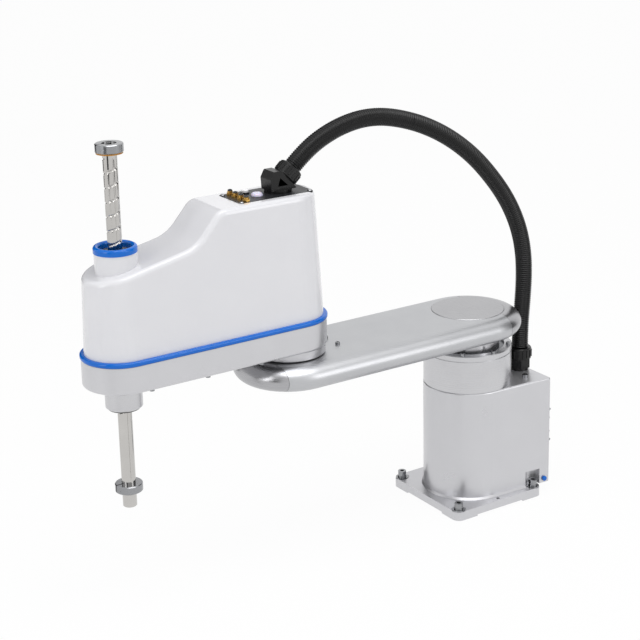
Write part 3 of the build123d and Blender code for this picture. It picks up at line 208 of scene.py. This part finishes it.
# %% Stand the black cards
CARD_DISTANCE, CARD_HEIGHT = 3.0, 3.2
ONE_FACE = [(0, 1, 2, 3)]

card_black = bpy.data.materials.new("black_card")
tree = empty_tree(card_black)
dull = add_node(tree, "ShaderNodeEmission", {"Color": linear("#2A2A2C"), "Strength": 1.0})
add_node(tree, "ShaderNodeOutputMaterial", {"Surface": dull.outputs[0]})


def black_card(name, azimuth, width):
    """An upright dark card at an angle from +X round the robot, seen in reflections only."""
    angle = math.radians(azimuth)
    middle = Vector((math.cos(angle), math.sin(angle), 0.0)) * CARD_DISTANCE
    side = Vector((-middle.y, middle.x, 0.0)).normalized() * (width / 2)
    top = Vector((0.0, 0.0, CARD_HEIGHT))
    corners = [middle - side, middle + side, middle + side + top, middle - side + top]
    mesh = bpy.data.meshes.new(name)
    mesh.from_pydata(corners, [], ONE_FACE)
    mesh.materials.append(card_black)
    card = link_object(name, mesh)
    card.visible_camera = False
    card.visible_diffuse = False
    card.visible_shadow = False
    card.visible_transmission = False


black_card("left_card", azimuth=24, width=1.1)
black_card("far_card", azimuth=-80, width=2.6)
black_card("right_card", azimuth=160, width=1.8)
print("three black cards stand round the robot")

# %% [markdown]
# ## The floor
#
# The floor is a sheet of pale paper. A floor with no emission would turn grey away from the
# lamps, so to the camera and to reflections it is mixed with plain white, and the small share of
# paper that is left keeps the robot's shadow.

# %% Floor
FLOOR_SIZE = 14.0
FLOOR_WHITE_SHARE = 0.95
PAPER_ROUGHNESS = 0.8

half = FLOOR_SIZE / 2
floor_corners = [(-half, -half, 0), (half, -half, 0), (half, half, 0), (-half, half, 0)]
floor_mesh = bpy.data.meshes.new("studio_floor")
floor_mesh.from_pydata(floor_corners, [], ONE_FACE)
pale_floor = bpy.data.materials.new("pale_floor")
tree = empty_tree(pale_floor)
ray = add_node(tree, "ShaderNodeLightPath").outputs
seen = add_node(tree, "ShaderNodeMath", {0: ray["Is Camera Ray"], 1: ray["Is Glossy Ray"]},
                operation="MAXIMUM")
share = add_node(tree, "ShaderNodeMath", {0: seen.outputs[0], 1: FLOOR_WHITE_SHARE},
                 operation="MULTIPLY")
paper = add_node(tree, "ShaderNodeBsdfPrincipled",
                 {"Base Color": linear("#F2F2F2"), "Roughness": PAPER_ROUGHNESS})
glow = add_node(tree, "ShaderNodeEmission", {"Color": linear(WHITE), "Strength": 1.0})
mixed = add_node(tree, "ShaderNodeMixShader",
                 {0: share.outputs[0], 1: paper.outputs["BSDF"], 2: glow.outputs[0]})
add_node(tree, "ShaderNodeOutputMaterial", {"Surface": mixed.outputs[0]})
floor_mesh.materials.append(pale_floor)
link_object("studio_floor", floor_mesh)
print("floor is", FLOOR_SIZE, "m across")

# %% [markdown]
# ## Finishes of the painted and moulded parts
#
# Paint and plastic have one colour, a skin that is never quite even, and a fine relief: the
# orange peel of sprayed paint, or the spark grain of a mould. One recipe makes them all, because
# they differ only in amounts. A slow noise moves the colour between two close tones and the
# roughness a little, and a fine noise is the relief. Orange peel is really 1 to 3 mm wide. The
# grain of a mould or a belt is finer than the picture shows, so it is drawn about 1 mm wide.

# %% Recipe for paint, plastic and rubber
NOISE_LOW, NOISE_HIGH = 0.3, 0.7  # nearly all of a noise lies between these
CLOUD_MM = 60.0
CLOUD_DETAIL, GRAIN_DETAIL = 3.0, 2.0
GRAIN_DEPTH_SHARE = 0.2  # depth of a grain as a share of its width


def start_finish(name):
    """A material with a bare Principled surface, and the object's own coordinates."""
    material = bpy.data.materials.new(name)
    tree = empty_tree(material)
    surface = add_node(tree, "ShaderNodeBsdfPrincipled")
    add_node(tree, "ShaderNodeOutputMaterial", {"Surface": surface.outputs["BSDF"]})
    place = add_node(tree, "ShaderNodeTexCoord").outputs["Object"]
    return material, tree, surface, place


def coated(name, tones, roughness, spread, grain_mm, relief, **constants):
    """Paint, plastic or rubber: two close tones, an uneven gloss and a fine relief."""
    material, tree, surface, place = start_finish(name)
    cloud = add_node(tree, "ShaderNodeTexNoise",
                     {"Vector": place, "Scale": 1 / (CLOUD_MM * MM), "Detail": CLOUD_DETAIL})
    colour = add_node(tree, "ShaderNodeMix",
                      {0: cloud.outputs["Fac"], 6: linear(tones[0]), 7: linear(tones[1])},
                      data_type="RGBA")
    gloss = add_node(tree, "ShaderNodeMapRange",
                     {"Value": cloud.outputs["Fac"], "From Min": NOISE_LOW, "From Max": NOISE_HIGH,
                      "To Min": roughness - spread, "To Max": roughness + spread})
    grain = add_node(tree, "ShaderNodeTexNoise",
                     {"Vector": place, "Scale": 1 / (grain_mm * MM), "Detail": GRAIN_DETAIL})
    skin = add_node(tree, "ShaderNodeBump",
                    {"Height": grain.outputs["Fac"], "Strength": relief,
                     "Distance": grain_mm * MM * GRAIN_DEPTH_SHARE})
    for socket, value in constants.items():
        surface.inputs[socket.replace("_", " ")].default_value = value
    tree.links.new(colour.outputs[2], surface.inputs["Base Color"])
    tree.links.new(gloss.outputs["Result"], surface.inputs["Roughness"])
    tree.links.new(skin.outputs["Normal"], surface.inputs["Normal"])
    return material


print("recipe for coated parts ready")

# %% Paint, plastic and rubber
finishes = {
    # Two part paint with metal flakes on a casting: soft wide highlights, a faint orange peel.
    "silver_paint": coated(
        "satin_silver_paint", ("#C6C6C9", "#CECED1"), roughness=0.32, spread=0.05,
        grain_mm=1.6, relief=0.2, Metallic=0.8, Coat_Weight=0.15, Coat_Roughness=0.25),
    # Glossy moulded ABS: clean white with sharp reflections.
    "white_gloss": coated(
        "glossy_white_abs", ("#D8D8DC", "#DDDDE0"), roughness=0.2, spread=0.03,
        grain_mm=2.4, relief=0.05, Coat_Weight=0.3, Coat_Roughness=0.06),
    # Glossy pigmented PVC bead: saturated blue that still shows white streaks.
    "blue_gloss": coated(
        "glossy_blue_pvc", ("#005CBE", "#006CCB"), roughness=0.14, spread=0.03,
        grain_mm=1.5, relief=0.08, Specular_IOR_Level=0.35),
    # Stove enamel on motors: deep black with a slight sheen.
    "motor_black": coated(
        "black_stove_enamel", ("#1B1B1D", "#232325"), roughness=0.4, spread=0.06,
        grain_mm=1.2, relief=0.2),
    # Moulded polyamide: near black, with a soft narrow shine.
    "black_nylon": coated(
        "black_polyamide", ("#050506", "#0A0A0B"), roughness=0.3, spread=0.06,
        grain_mm=0.9, relief=0.2, Specular_IOR_Level=0.35),
    # Nitrile rubber lip: dull black.
    "seal_rubber": coated(
        "nitrile_rubber", ("#161616", "#1E1E1E"), roughness=0.62, spread=0.06,
        grain_mm=0.7, relief=0.4),
    # Neoprene belt: dull black with an uneven back.
    "belt_rubber": coated(
        "neoprene_belt", ("#171717", "#202020"), roughness=0.6, spread=0.05,
        grain_mm=0.8, relief=0.5),
    # Anodised dark sheet: an even charcoal that looks soft.
    "panel_black": coated(
        "charcoal_anodised_sheet", ("#1D1E21", "#24252A"), roughness=0.42, spread=0.05,
        grain_mm=0.8, relief=0.2, Metallic=0.3),
    # Moulded acetal push collars: near black with a waxy shine.
    "collar_plastic": coated(
        "black_acetal", ("#17181B", "#202126"), roughness=0.3, spread=0.05,
        grain_mm=1.0, relief=0.15),
    # Opal polycarbonate lens, off: lilac white with a wet gloss.
    "lamp_lens": coated(
        "opal_polycarbonate", ("#CFC9E2", "#DED9EC"), roughness=0.18, spread=0.04,
        grain_mm=1.4, relief=0.05, Subsurface_Weight=0.2, Subsurface_Scale=0.004, Coat_Weight=0.4),
    # Moulded button cap: off white with a soft gloss.
    "button_plastic": coated(
        "white_button_cap", ("#E9E9EC", "#F2F2F4"), roughness=0.28, spread=0.04,
        grain_mm=1.0, relief=0.1),
    # Powder coat on the die cast housing of the plug connection: mid grey, slightly rough.
    "connector_shell": coated(
        "grey_powder_coat", ("#A9AAAD", "#B5B6B8"), roughness=0.45, spread=0.05,
        grain_mm=0.8, relief=0.5, Metallic=0.2),
    # Cast polyurethane ring: amber that light sinks into a little.
    "bumper_amber": coated(
        "amber_polyurethane", ("#9A6A1C", "#B9832A"), roughness=0.35, spread=0.05,
        grain_mm=1.2, relief=0.1, Subsurface_Weight=0.15, Subsurface_Scale=0.003),
}
print(len(finishes), "coated finishes")

# %% [markdown]
# ## Finishes of the bare metals
#
# A bare metal takes its look from how it was made. A turned ring carries fine lathe marks round
# its axis, a blasted casting is an even soft grey, and a ground shaft is nearly a mirror. An
# anisotropic shader could draw the lathe marks, but it needs a direction on every surface. This
# recipe reads only the distance from the turning axis and the height, so its marks run round the
# axis on any piece, and a Mapping node puts that axis on the piece. Real marks are finer than
# the picture shows, so they are drawn about half a millimetre wide.

# %% Recipe for bare metal
STAIN_MM = 40.0
STAIN_DETAIL, MARK_DETAIL = 4.0, 2.0
MARK_DEPTH_SHARE = 0.1  # depth of a mark as a share of its width


def lathe_coordinates(tree, place, axis):
    """Distance from an upright axis as X and height as Y, for marks that run round the axis."""
    centred = add_node(tree, "ShaderNodeMapping",
                       {"Vector": place, "Location": (-axis[0], -axis[1], 0.0)})
    parts = add_node(tree, "ShaderNodeSeparateXYZ", {0: centred.outputs["Vector"]}).outputs
    flat = add_node(tree, "ShaderNodeCombineXYZ", {"X": parts["X"], "Y": parts["Y"]})
    reach = add_node(tree, "ShaderNodeVectorMath", {0: flat.outputs[0]}, operation="LENGTH")
    both = add_node(tree, "ShaderNodeCombineXYZ", {"X": reach.outputs["Value"], "Y": parts["Z"]})
    return both.outputs[0]


def bare_metal(name, tones, roughness, spread, mark_mm, relief, axis=None):
    """Metal with marks of a given width: round an upright axis, or even all over."""
    material, tree, surface, place = start_finish(name)
    surface.inputs["Metallic"].default_value = 1.0
    stain = add_node(tree, "ShaderNodeTexNoise",
                     {"Vector": place, "Scale": 1 / (STAIN_MM * MM), "Detail": STAIN_DETAIL})
    marks_at = lathe_coordinates(tree, place, axis) if axis else place
    marks = add_node(tree, "ShaderNodeTexNoise",
                     {"Vector": marks_at, "Scale": 1 / (mark_mm * MM), "Detail": MARK_DETAIL})
    colour = add_node(tree, "ShaderNodeMix",
                      {0: stain.outputs["Fac"], 6: linear(tones[0]), 7: linear(tones[1])},
                      data_type="RGBA")
    gloss = add_node(tree, "ShaderNodeMapRange",
                     {"Value": marks.outputs["Fac"], "From Min": NOISE_LOW, "From Max": NOISE_HIGH,
                      "To Min": roughness - spread, "To Max": roughness + spread})
    skin = add_node(tree, "ShaderNodeBump",
                    {"Height": marks.outputs["Fac"], "Strength": relief,
                     "Distance": mark_mm * MM * MARK_DEPTH_SHARE})
    tree.links.new(colour.outputs[2], surface.inputs["Base Color"])
    tree.links.new(gloss.outputs["Result"], surface.inputs["Roughness"])
    tree.links.new(skin.outputs["Normal"], surface.inputs["Normal"])
    return material


print("recipe for bare metal ready")

# %% Aluminium, steel and brass
SHOULDER = axis_at["shoulder_turn"]
ELBOW = axis_at["elbow_turn"]
TOOL = axis_at["shaft_turn"]

finishes.update({
    # Aluminium turned on the shoulder axis: satin, with lathe marks round it.
    "turned_aluminium": bare_metal(
        "turned_aluminium", ("#C2C2C5", "#CECED0"), roughness=0.3, spread=0.06,
        mark_mm=0.6, relief=0.25, axis=SHOULDER),
    # Bead blasted aluminium: an even soft grey.
    "satin_aluminium": bare_metal(
        "blasted_aluminium", ("#B9BABD", "#C4C5C7"), roughness=0.38, spread=0.05,
        mark_mm=0.5, relief=0.3),
    # Aluminium turned on the elbow axis and polished by hand: a soft, slightly dark shine.
    "polished_aluminium": bare_metal(
        "polished_aluminium", ("#A9A9AC", "#B4B4B6"), roughness=0.3, spread=0.05,
        mark_mm=0.8, relief=0.1, axis=ELBOW),
    # Machined drive housing steel: mid grey with plain tool marks.
    "drive_steel": bare_metal(
        "machined_steel", ("#8C8E92", "#9B9DA0"), roughness=0.34, spread=0.06,
        mark_mm=0.5, relief=0.25, axis=SHOULDER),
    # Hardened and ground shaft steel: a warm grey with hard bright reflections.
    "bright_steel": bare_metal(
        "ground_shaft_steel", ("#B7B5B2", "#C9C7C4"), roughness=0.09, spread=0.03,
        mark_mm=0.4, relief=0.04, axis=TOOL),
    # Zinc plated screws: bright and a little uneven.
    "fastener_steel": bare_metal(
        "zinc_plated_steel", ("#8A8B8E", "#A4A5A7"), roughness=0.2, spread=0.06,
        mark_mm=0.7, relief=0.15),
    # Hard anodised pulleys: an even mid grey.
    "pulley_alloy": bare_metal(
        "anodised_pulley_alloy", ("#8F9296", "#A0A3A7"), roughness=0.35, spread=0.06,
        mark_mm=0.6, relief=0.2, axis=TOOL),
    # Turned brass air fittings, not plated: warm yellow with a keen shine.
    "fitting_brass": bare_metal(
        "turned_brass", ("#B08A45", "#C9A25A"), roughness=0.24, spread=0.06,
        mark_mm=0.5, relief=0.2),
})
print(len(finishes), "finishes in all, on axes", SHOULDER, ELBOW, TOOL)

# %% [markdown]
# ## Giving each CAD piece its finish
#
# The record says which material slot each node takes. New meshes for the castings and covers
# could be modelled here, but the solids already have the true shapes, so the nodes keep their
# meshes and only their material is changed.

# %% Dress the CAD nodes
for name, node in nodes.items():
    node.data.materials.clear()
    node.data.materials.append(finishes[slot_of[name]])
print("dressed", len(nodes), "nodes")

# %% [markdown]
# ## The hose
#
# The cables run through a black corrugated conduit that stands up out of the column, arches over
# the first arm and comes down to the forearm's connector. It is one hose, made here as two
# lengths that meet over the arm, because each crosses one joint. Its line is a smooth NURBS curve
# whose control points are listed below. Rings in an array along the curve would show gaps in
# the bends, so a Geometry Nodes tree walks along the line instead and swells one closed section
# in waves, which is what the ribs of a conduit are.

# %% Route of the hose
HOSE_RADIUS = 13.3 * MM
CURVE_STEPS = 24
LOWER_ROUTE = [
    (-95, 15, 231), (-95, 15, 258), (-101, 12, 297), (-105.5, 10.5, 341), (-104.5, 9.5, 386),
    (-94, 9, 430), (-73, 8, 474), (-43, 7.5, 515), (-5, 7, 556), (40, 6, 591), (88, 4.5, 617),
    (113, 3.75, 625.5),
]
UPPER_ROUTE = [
    (113, 3.75, 625.5), (143, 2.85, 635.7), (190, 1.5, 641), (234, 0.8, 634), (272, 0.3, 619),
    (300.2, 0, 600.5), (318, 0, 584.5),
]


def route_curve(name, route):
    """An open NURBS curve of order 3, in metres, from a route's points in millimetres."""
    curve = bpy.data.curves.new(name, "CURVE")
    curve.dimensions = "3D"
    curve.resolution_u = CURVE_STEPS
    spline = curve.splines.new("NURBS")
    spline.points.add(len(route) - 1)
    for point, place in zip(spline.points, route):
        point.co = (*(value * MM for value in place), 1.0)
    spline.order_u = 3
    spline.use_endpoint_u = True
    return link_object(name, curve)


def evaluated_mesh(source):
    """The mesh of an object with its modifiers applied."""
    bpy.context.view_layer.update()
    depsgraph = bpy.context.evaluated_depsgraph_get()
    return bpy.data.meshes.new_from_object(source.evaluated_get(depsgraph), depsgraph=depsgraph)


def points_along(line):
    """The points of a curve object that has no bevel."""
    mesh = evaluated_mesh(line)
    places = [vertex.co.copy() for vertex in mesh.vertices]
    bpy.data.meshes.remove(mesh)
    return places


print("hose is", round(2 * HOSE_RADIUS / MM, 1), "mm thick")

# %% Geometry Nodes tree for a corrugated tube
RIB_HEIGHT, RIB_PITCH = 1.5 * MM, 3.4 * MM
STATIONS_PER_RIB = 6.0
HOSE_SIDES = 28


def new_geometry_tree(name, source, sizes):
    """A tree with one geometry in and out, a material and named sizes, and its sockets' ids."""
    tree = bpy.data.node_groups.new(name, "GeometryNodeTree")
    tree.interface.new_socket(name="Geometry", in_out="OUTPUT", socket_type="NodeSocketGeometry")
    kinds = {source: "NodeSocketGeometry"}
    kinds.update({size: "NodeSocketFloat" for size in sizes})
    kinds["Material"] = "NodeSocketMaterial"
    ids = {}
    for label, kind in kinds.items():
        socket = tree.interface.new_socket(name=label, in_out="INPUT", socket_type=kind)
        if label in sizes:
            socket.default_value = sizes[label]
        ids[label] = socket.identifier
    return tree, ids


def corrugation_tree():
    """Swells a round section in waves along a curve."""
    sizes = {"Radius": HOSE_RADIUS, "Rib Height": RIB_HEIGHT, "Rib Pitch": RIB_PITCH}
    tree, ids = new_geometry_tree("corrugated_hose", "Line", sizes)
    given = add_node(tree, "NodeGroupInput").outputs
    step = add_node(tree, "ShaderNodeMath", {0: given["Rib Pitch"], 1: STATIONS_PER_RIB},
                    operation="DIVIDE")
    stations = add_node(tree, "GeometryNodeResampleCurve",
                        {"Curve": given["Line"], "Length": step.outputs[0]}, mode="LENGTH")
    along = add_node(tree, "GeometryNodeSplineParameter").outputs["Length"]
    turns = add_node(tree, "ShaderNodeMath", {0: along, 1: given["Rib Pitch"]},
                     operation="DIVIDE")
    angle = add_node(tree, "ShaderNodeMath", {0: turns.outputs[0], 1: math.tau},
                     operation="MULTIPLY")
    wave = add_node(tree, "ShaderNodeMath", {0: angle.outputs[0]}, operation="COSINE")
    depth = add_node(tree, "ShaderNodeMapRange",
                     {"Value": wave.outputs[0], "From Min": -1.0, "From Max": 1.0,
                      "To Min": 0.0, "To Max": given["Rib Height"]})
    size = add_node(tree, "ShaderNodeMath", {0: given["Radius"], 1: depth.outputs["Result"]},
                    operation="SUBTRACT")
    section = add_node(tree, "GeometryNodeCurvePrimitiveCircle",
                       {"Resolution": HOSE_SIDES, "Radius": 1.0})
    tube = add_node(tree, "GeometryNodeCurveToMesh",
                    {"Curve": stations.outputs[0], "Profile Curve": section.outputs[0],
                     "Scale": size.outputs[0], "Fill Caps": True})
    smooth = add_node(tree, "GeometryNodeSetShadeSmooth", {"Geometry": tube.outputs[0]})
    whole = add_node(tree, "GeometryNodeRealizeInstances", {"Geometry": smooth.outputs[0]})
    dressed = add_node(tree, "GeometryNodeSetMaterial",
                       {"Geometry": whole.outputs[0], "Material": given["Material"]})
    add_node(tree, "NodeGroupOutput", {0: dressed.outputs[0]})
    return tree, ids


hose_tree, hose_inputs = corrugation_tree()
print("hose tree has", len(hose_tree.nodes), "nodes")

# %% Turn a modifier's result into a plain mesh
def plain_mesh(source, tree, name, values, ids):
    """The evaluated result of a Geometry Nodes tree, as an object of its own."""
    modifier = source.modifiers.new(name, "NODES")
    modifier.node_group = tree
    for socket, value in values.items():
        modifier[ids[socket]] = value
    mesh = evaluated_mesh(source)
    source.modifiers.clear()
    bpy.data.objects.remove(source)
    mesh.name = name
    return link_object(name, mesh)


print("converter ready")

# %% Make the two lengths of hose
def hose_length(name, route, node):
    """One length of hose between two bodies, made along its route in place of the CAD node, which is hidden."""
    line = route_curve(name + "_line", route)
    path = points_along(line)
    bpy.data.objects.remove(line)
    values = {"Radius": HOSE_RADIUS, "Material": finishes["black_nylon"]}
    tube = plain_mesh(route_curve(name + "_route", route), hose_tree, name, values, hose_inputs)
    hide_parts(node)
    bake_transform(tube)


hose_length("hose_lower_skin", LOWER_ROUTE, "hose_lower")
hose_length("hose_upper_skin", UPPER_ROUTE, "hose_upper")

# %% [markdown]
# ## The tool shaft
#
# A ball screw spline is one hollow ground shaft with two kinds of groove: straight flutes that a
# spline nut holds, and a helical groove that a screw nut drives. A ball swept along each groove
# and cut away would leave ragged faces where the grooves cross. Here the blank is a plain tube of
# many rings, and a Geometry Nodes tree grinds it: it finds how far each point of the outside lies
# from the nearest groove line and moves it in along a round section.

# %% Blank of the shaft
low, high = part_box("tool_shaft")
SHAFT_RADIUS = (high.x - low.x) / 2
BORE_RADIUS = 5.5 * MM
SHAFT_SIDES = 96
RING_STEP = 0.9 * MM
EDGE = 1.0 * MM


def shaft_blank():
    """A closed tube: outside, chamfered ends and bore, in rings of points."""
    straight = high.z - low.z - 2 * EDGE
    rings = int(straight / RING_STEP)
    profile = [(BORE_RADIUS, low.z), (SHAFT_RADIUS - EDGE, low.z)]
    profile += [(SHAFT_RADIUS, low.z + EDGE + straight * i / rings) for i in range(rings + 1)]
    profile += [(SHAFT_RADIUS - EDGE, high.z), (BORE_RADIUS, high.z)]
    places, faces = [], []
    for radius, height in profile:
        for side in range(SHAFT_SIDES):
            angle = math.tau * side / SHAFT_SIDES
            places.append((TOOL[0] + radius * math.cos(angle), radius * math.sin(angle), height))
    for ring in range(len(profile)):
        here = ring * SHAFT_SIDES
        above = (ring + 1) % len(profile) * SHAFT_SIDES
        for side in range(SHAFT_SIDES):
            beside = (side + 1) % SHAFT_SIDES
            faces.append((here + side, here + beside, above + beside, above + side))
    mesh = bpy.data.meshes.new("shaft_blank")
    mesh.from_pydata(places, [], faces)
    return link_object("shaft_blank", mesh)


print("shaft radius", round(SHAFT_RADIUS / MM, 2), "mm, height", round((high.z - low.z) / MM), "mm")

# %% Geometry Nodes tree that grinds the grooves
LEAD = 20 * MM
GROOVE_SIZES = {
    "Lead": LEAD, "Helix Width": 2.8 * MM, "Helix Depth": 1.2 * MM,
    "Helix Start": 266 * MM, "Helix Fade": 5 * MM,
    "Flutes": 4.0, "Flute Width": 2.6 * MM, "Flute Depth": 0.9 * MM,
    "Flute Start": 176 * MM, "Flute Fade": 8 * MM, "Groove End": 640 * MM,
}


def groove_depth(tree, given, kind, away, height):
    """Depth of a round bottomed groove at a distance from its middle line."""
    half = add_node(tree, "ShaderNodeMath", {0: given[kind + " Width"], 1: 0.5},
                    operation="MULTIPLY").outputs[0]
    share = add_node(tree, "ShaderNodeMath", {0: away, 1: half}, operation="DIVIDE").outputs[0]
    square = add_node(tree, "ShaderNodeMath", {0: share, 1: share},
                      operation="MULTIPLY").outputs[0]
    under = add_node(tree, "ShaderNodeMath", {0: 1.0, 1: square}, operation="SUBTRACT").outputs[0]
    inside = add_node(tree, "ShaderNodeMath", {0: under, 1: 0.0}, operation="MAXIMUM").outputs[0]
    bow = add_node(tree, "ShaderNodeMath", {0: inside}, operation="SQRT").outputs[0]
    cut = add_node(tree, "ShaderNodeMath", {0: given[kind + " Depth"], 1: bow},
                   operation="MULTIPLY").outputs[0]
    full = add_node(tree, "ShaderNodeMath", {0: given[kind + " Start"], 1: given[kind + " Fade"]},
                    operation="ADD").outputs[0]
    rise = add_node(tree, "ShaderNodeMapRange",
                    {"Value": height, "From Min": given[kind + " Start"], "From Max": full},
                    interpolation_type="SMOOTHSTEP").outputs[0]
    fall = add_node(tree, "ShaderNodeMath", {0: height, 1: given["Groove End"]},
                    operation="LESS_THAN").outputs[0]
    span = add_node(tree, "ShaderNodeMath", {0: rise, 1: fall}, operation="MULTIPLY").outputs[0]
    return add_node(tree, "ShaderNodeMath", {0: cut, 1: span}, operation="MULTIPLY").outputs[0]


def off_nearest(tree, value):
    """How far a value lies from the nearest whole number."""
    whole = add_node(tree, "ShaderNodeMath", {0: value}, operation="ROUND").outputs[0]
    return add_node(tree, "ShaderNodeMath", {0: value, 1: whole}, operation="SUBTRACT").outputs[0]


print(len(GROOVE_SIZES), "sizes of the grooves")

# %% Put the groove tree together
def groove_tree():
    """Moves the outside of the shaft in along one helical groove and straight flutes."""
    tree, ids = new_geometry_tree("ball_grooves", "Blank", GROOVE_SIZES)
    given = add_node(tree, "NodeGroupInput").outputs
    place = add_node(tree, "GeometryNodeInputPosition").outputs[0]
    centred = add_node(tree, "ShaderNodeVectorMath", {0: place, 1: (-TOOL[0], 0.0, 0.0)},
                       operation="ADD")
    parts = add_node(tree, "ShaderNodeSeparateXYZ", {0: centred.outputs[0]}).outputs
    across = add_node(tree, "ShaderNodeCombineXYZ", {"X": parts["X"], "Y": parts["Y"]}).outputs[0]
    angle = add_node(tree, "ShaderNodeMath", {0: parts["Y"], 1: parts["X"]},
                     operation="ARCTAN2").outputs[0]
    turn = add_node(tree, "ShaderNodeMath", {0: angle, 1: math.tau}, operation="DIVIDE").outputs[0]

    # The helix rises by one lead a turn, and its grooves lie a little nearer across than upwards.
    slant = math.cos(math.atan(LEAD / (math.tau * SHAFT_RADIUS)))
    climb = add_node(tree, "ShaderNodeMath", {0: parts["Z"], 1: given["Lead"]},
                     operation="DIVIDE").outputs[0]
    phase = add_node(tree, "ShaderNodeMath", {0: turn, 1: climb}, operation="SUBTRACT").outputs[0]
    rise = add_node(tree, "ShaderNodeMath", {0: off_nearest(tree, phase), 1: given["Lead"]},
                    operation="MULTIPLY").outputs[0]
    helix_away = add_node(tree, "ShaderNodeMath", {0: rise, 1: slant},
                          operation="MULTIPLY").outputs[0]
    helix = groove_depth(tree, given, "Helix", helix_away, parts["Z"])

    # The flutes share the way round evenly.
    slots = add_node(tree, "ShaderNodeMath", {0: turn, 1: given["Flutes"]},
                     operation="MULTIPLY").outputs[0]
    part_turn = add_node(tree, "ShaderNodeMath", {0: off_nearest(tree, slots), 1: given["Flutes"]},
                         operation="DIVIDE").outputs[0]
    flute_away = add_node(tree, "ShaderNodeMath", {0: part_turn, 1: math.tau * SHAFT_RADIUS},
                          operation="MULTIPLY").outputs[0]
    flute = groove_depth(tree, given, "Flute", flute_away, parts["Z"])

    # Only the outside is ground, so the bore keeps its size.
    reach = add_node(tree, "ShaderNodeVectorMath", {0: across}, operation="LENGTH")
    outside = add_node(tree, "ShaderNodeMath",
                       {0: reach.outputs["Value"], 1: SHAFT_RADIUS - EDGE / 2},
                       operation="GREATER_THAN").outputs[0]
    deeper = add_node(tree, "ShaderNodeMath", {0: helix, 1: flute}, operation="MAXIMUM").outputs[0]
    depth = add_node(tree, "ShaderNodeMath", {0: deeper, 1: outside},
                     operation="MULTIPLY").outputs[0]
    inwards = add_node(tree, "ShaderNodeMath", {0: depth, 1: -1.0}, operation="MULTIPLY").outputs[0]
    outwards = add_node(tree, "ShaderNodeVectorMath", {0: across}, operation="NORMALIZE")
    push = add_node(tree, "ShaderNodeVectorMath", {0: outwards.outputs[0], "Scale": inwards},
                    operation="SCALE")
    ground = add_node(tree, "GeometryNodeSetPosition",
                      {"Geometry": given["Blank"], "Offset": push.outputs[0]})
    whole = add_node(tree, "GeometryNodeRealizeInstances", {"Geometry": ground.outputs[0]})
    dressed = add_node(tree, "GeometryNodeSetMaterial",
                       {"Geometry": whole.outputs[0], "Material": given["Material"]})
    add_node(tree, "NodeGroupOutput", {0: dressed.outputs[0]})
    return tree, ids


groove_nodes, groove_inputs = groove_tree()
print("groove tree has", len(groove_nodes.nodes), "nodes")

# %% Grind the shaft
CRISP_DEGREES = 35


def shade_by_angle(piece, degrees):
    """Smooth faces, with the edges sharper than an angle kept crisp."""
    for face in piece.data.polygons:
        face.use_smooth = True
    piece.data.set_sharp_from_angle(angle=math.radians(degrees))


shaft_skin = plain_mesh(shaft_blank(), groove_nodes, "shaft_skin",
                        {"Material": finishes["bright_steel"]}, groove_inputs)
shade_by_angle(shaft_skin, CRISP_DEGREES)
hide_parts("tool_shaft")
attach(shaft_skin, "shaft")
print("shaft has", len(shaft_skin.data.polygons), "faces")
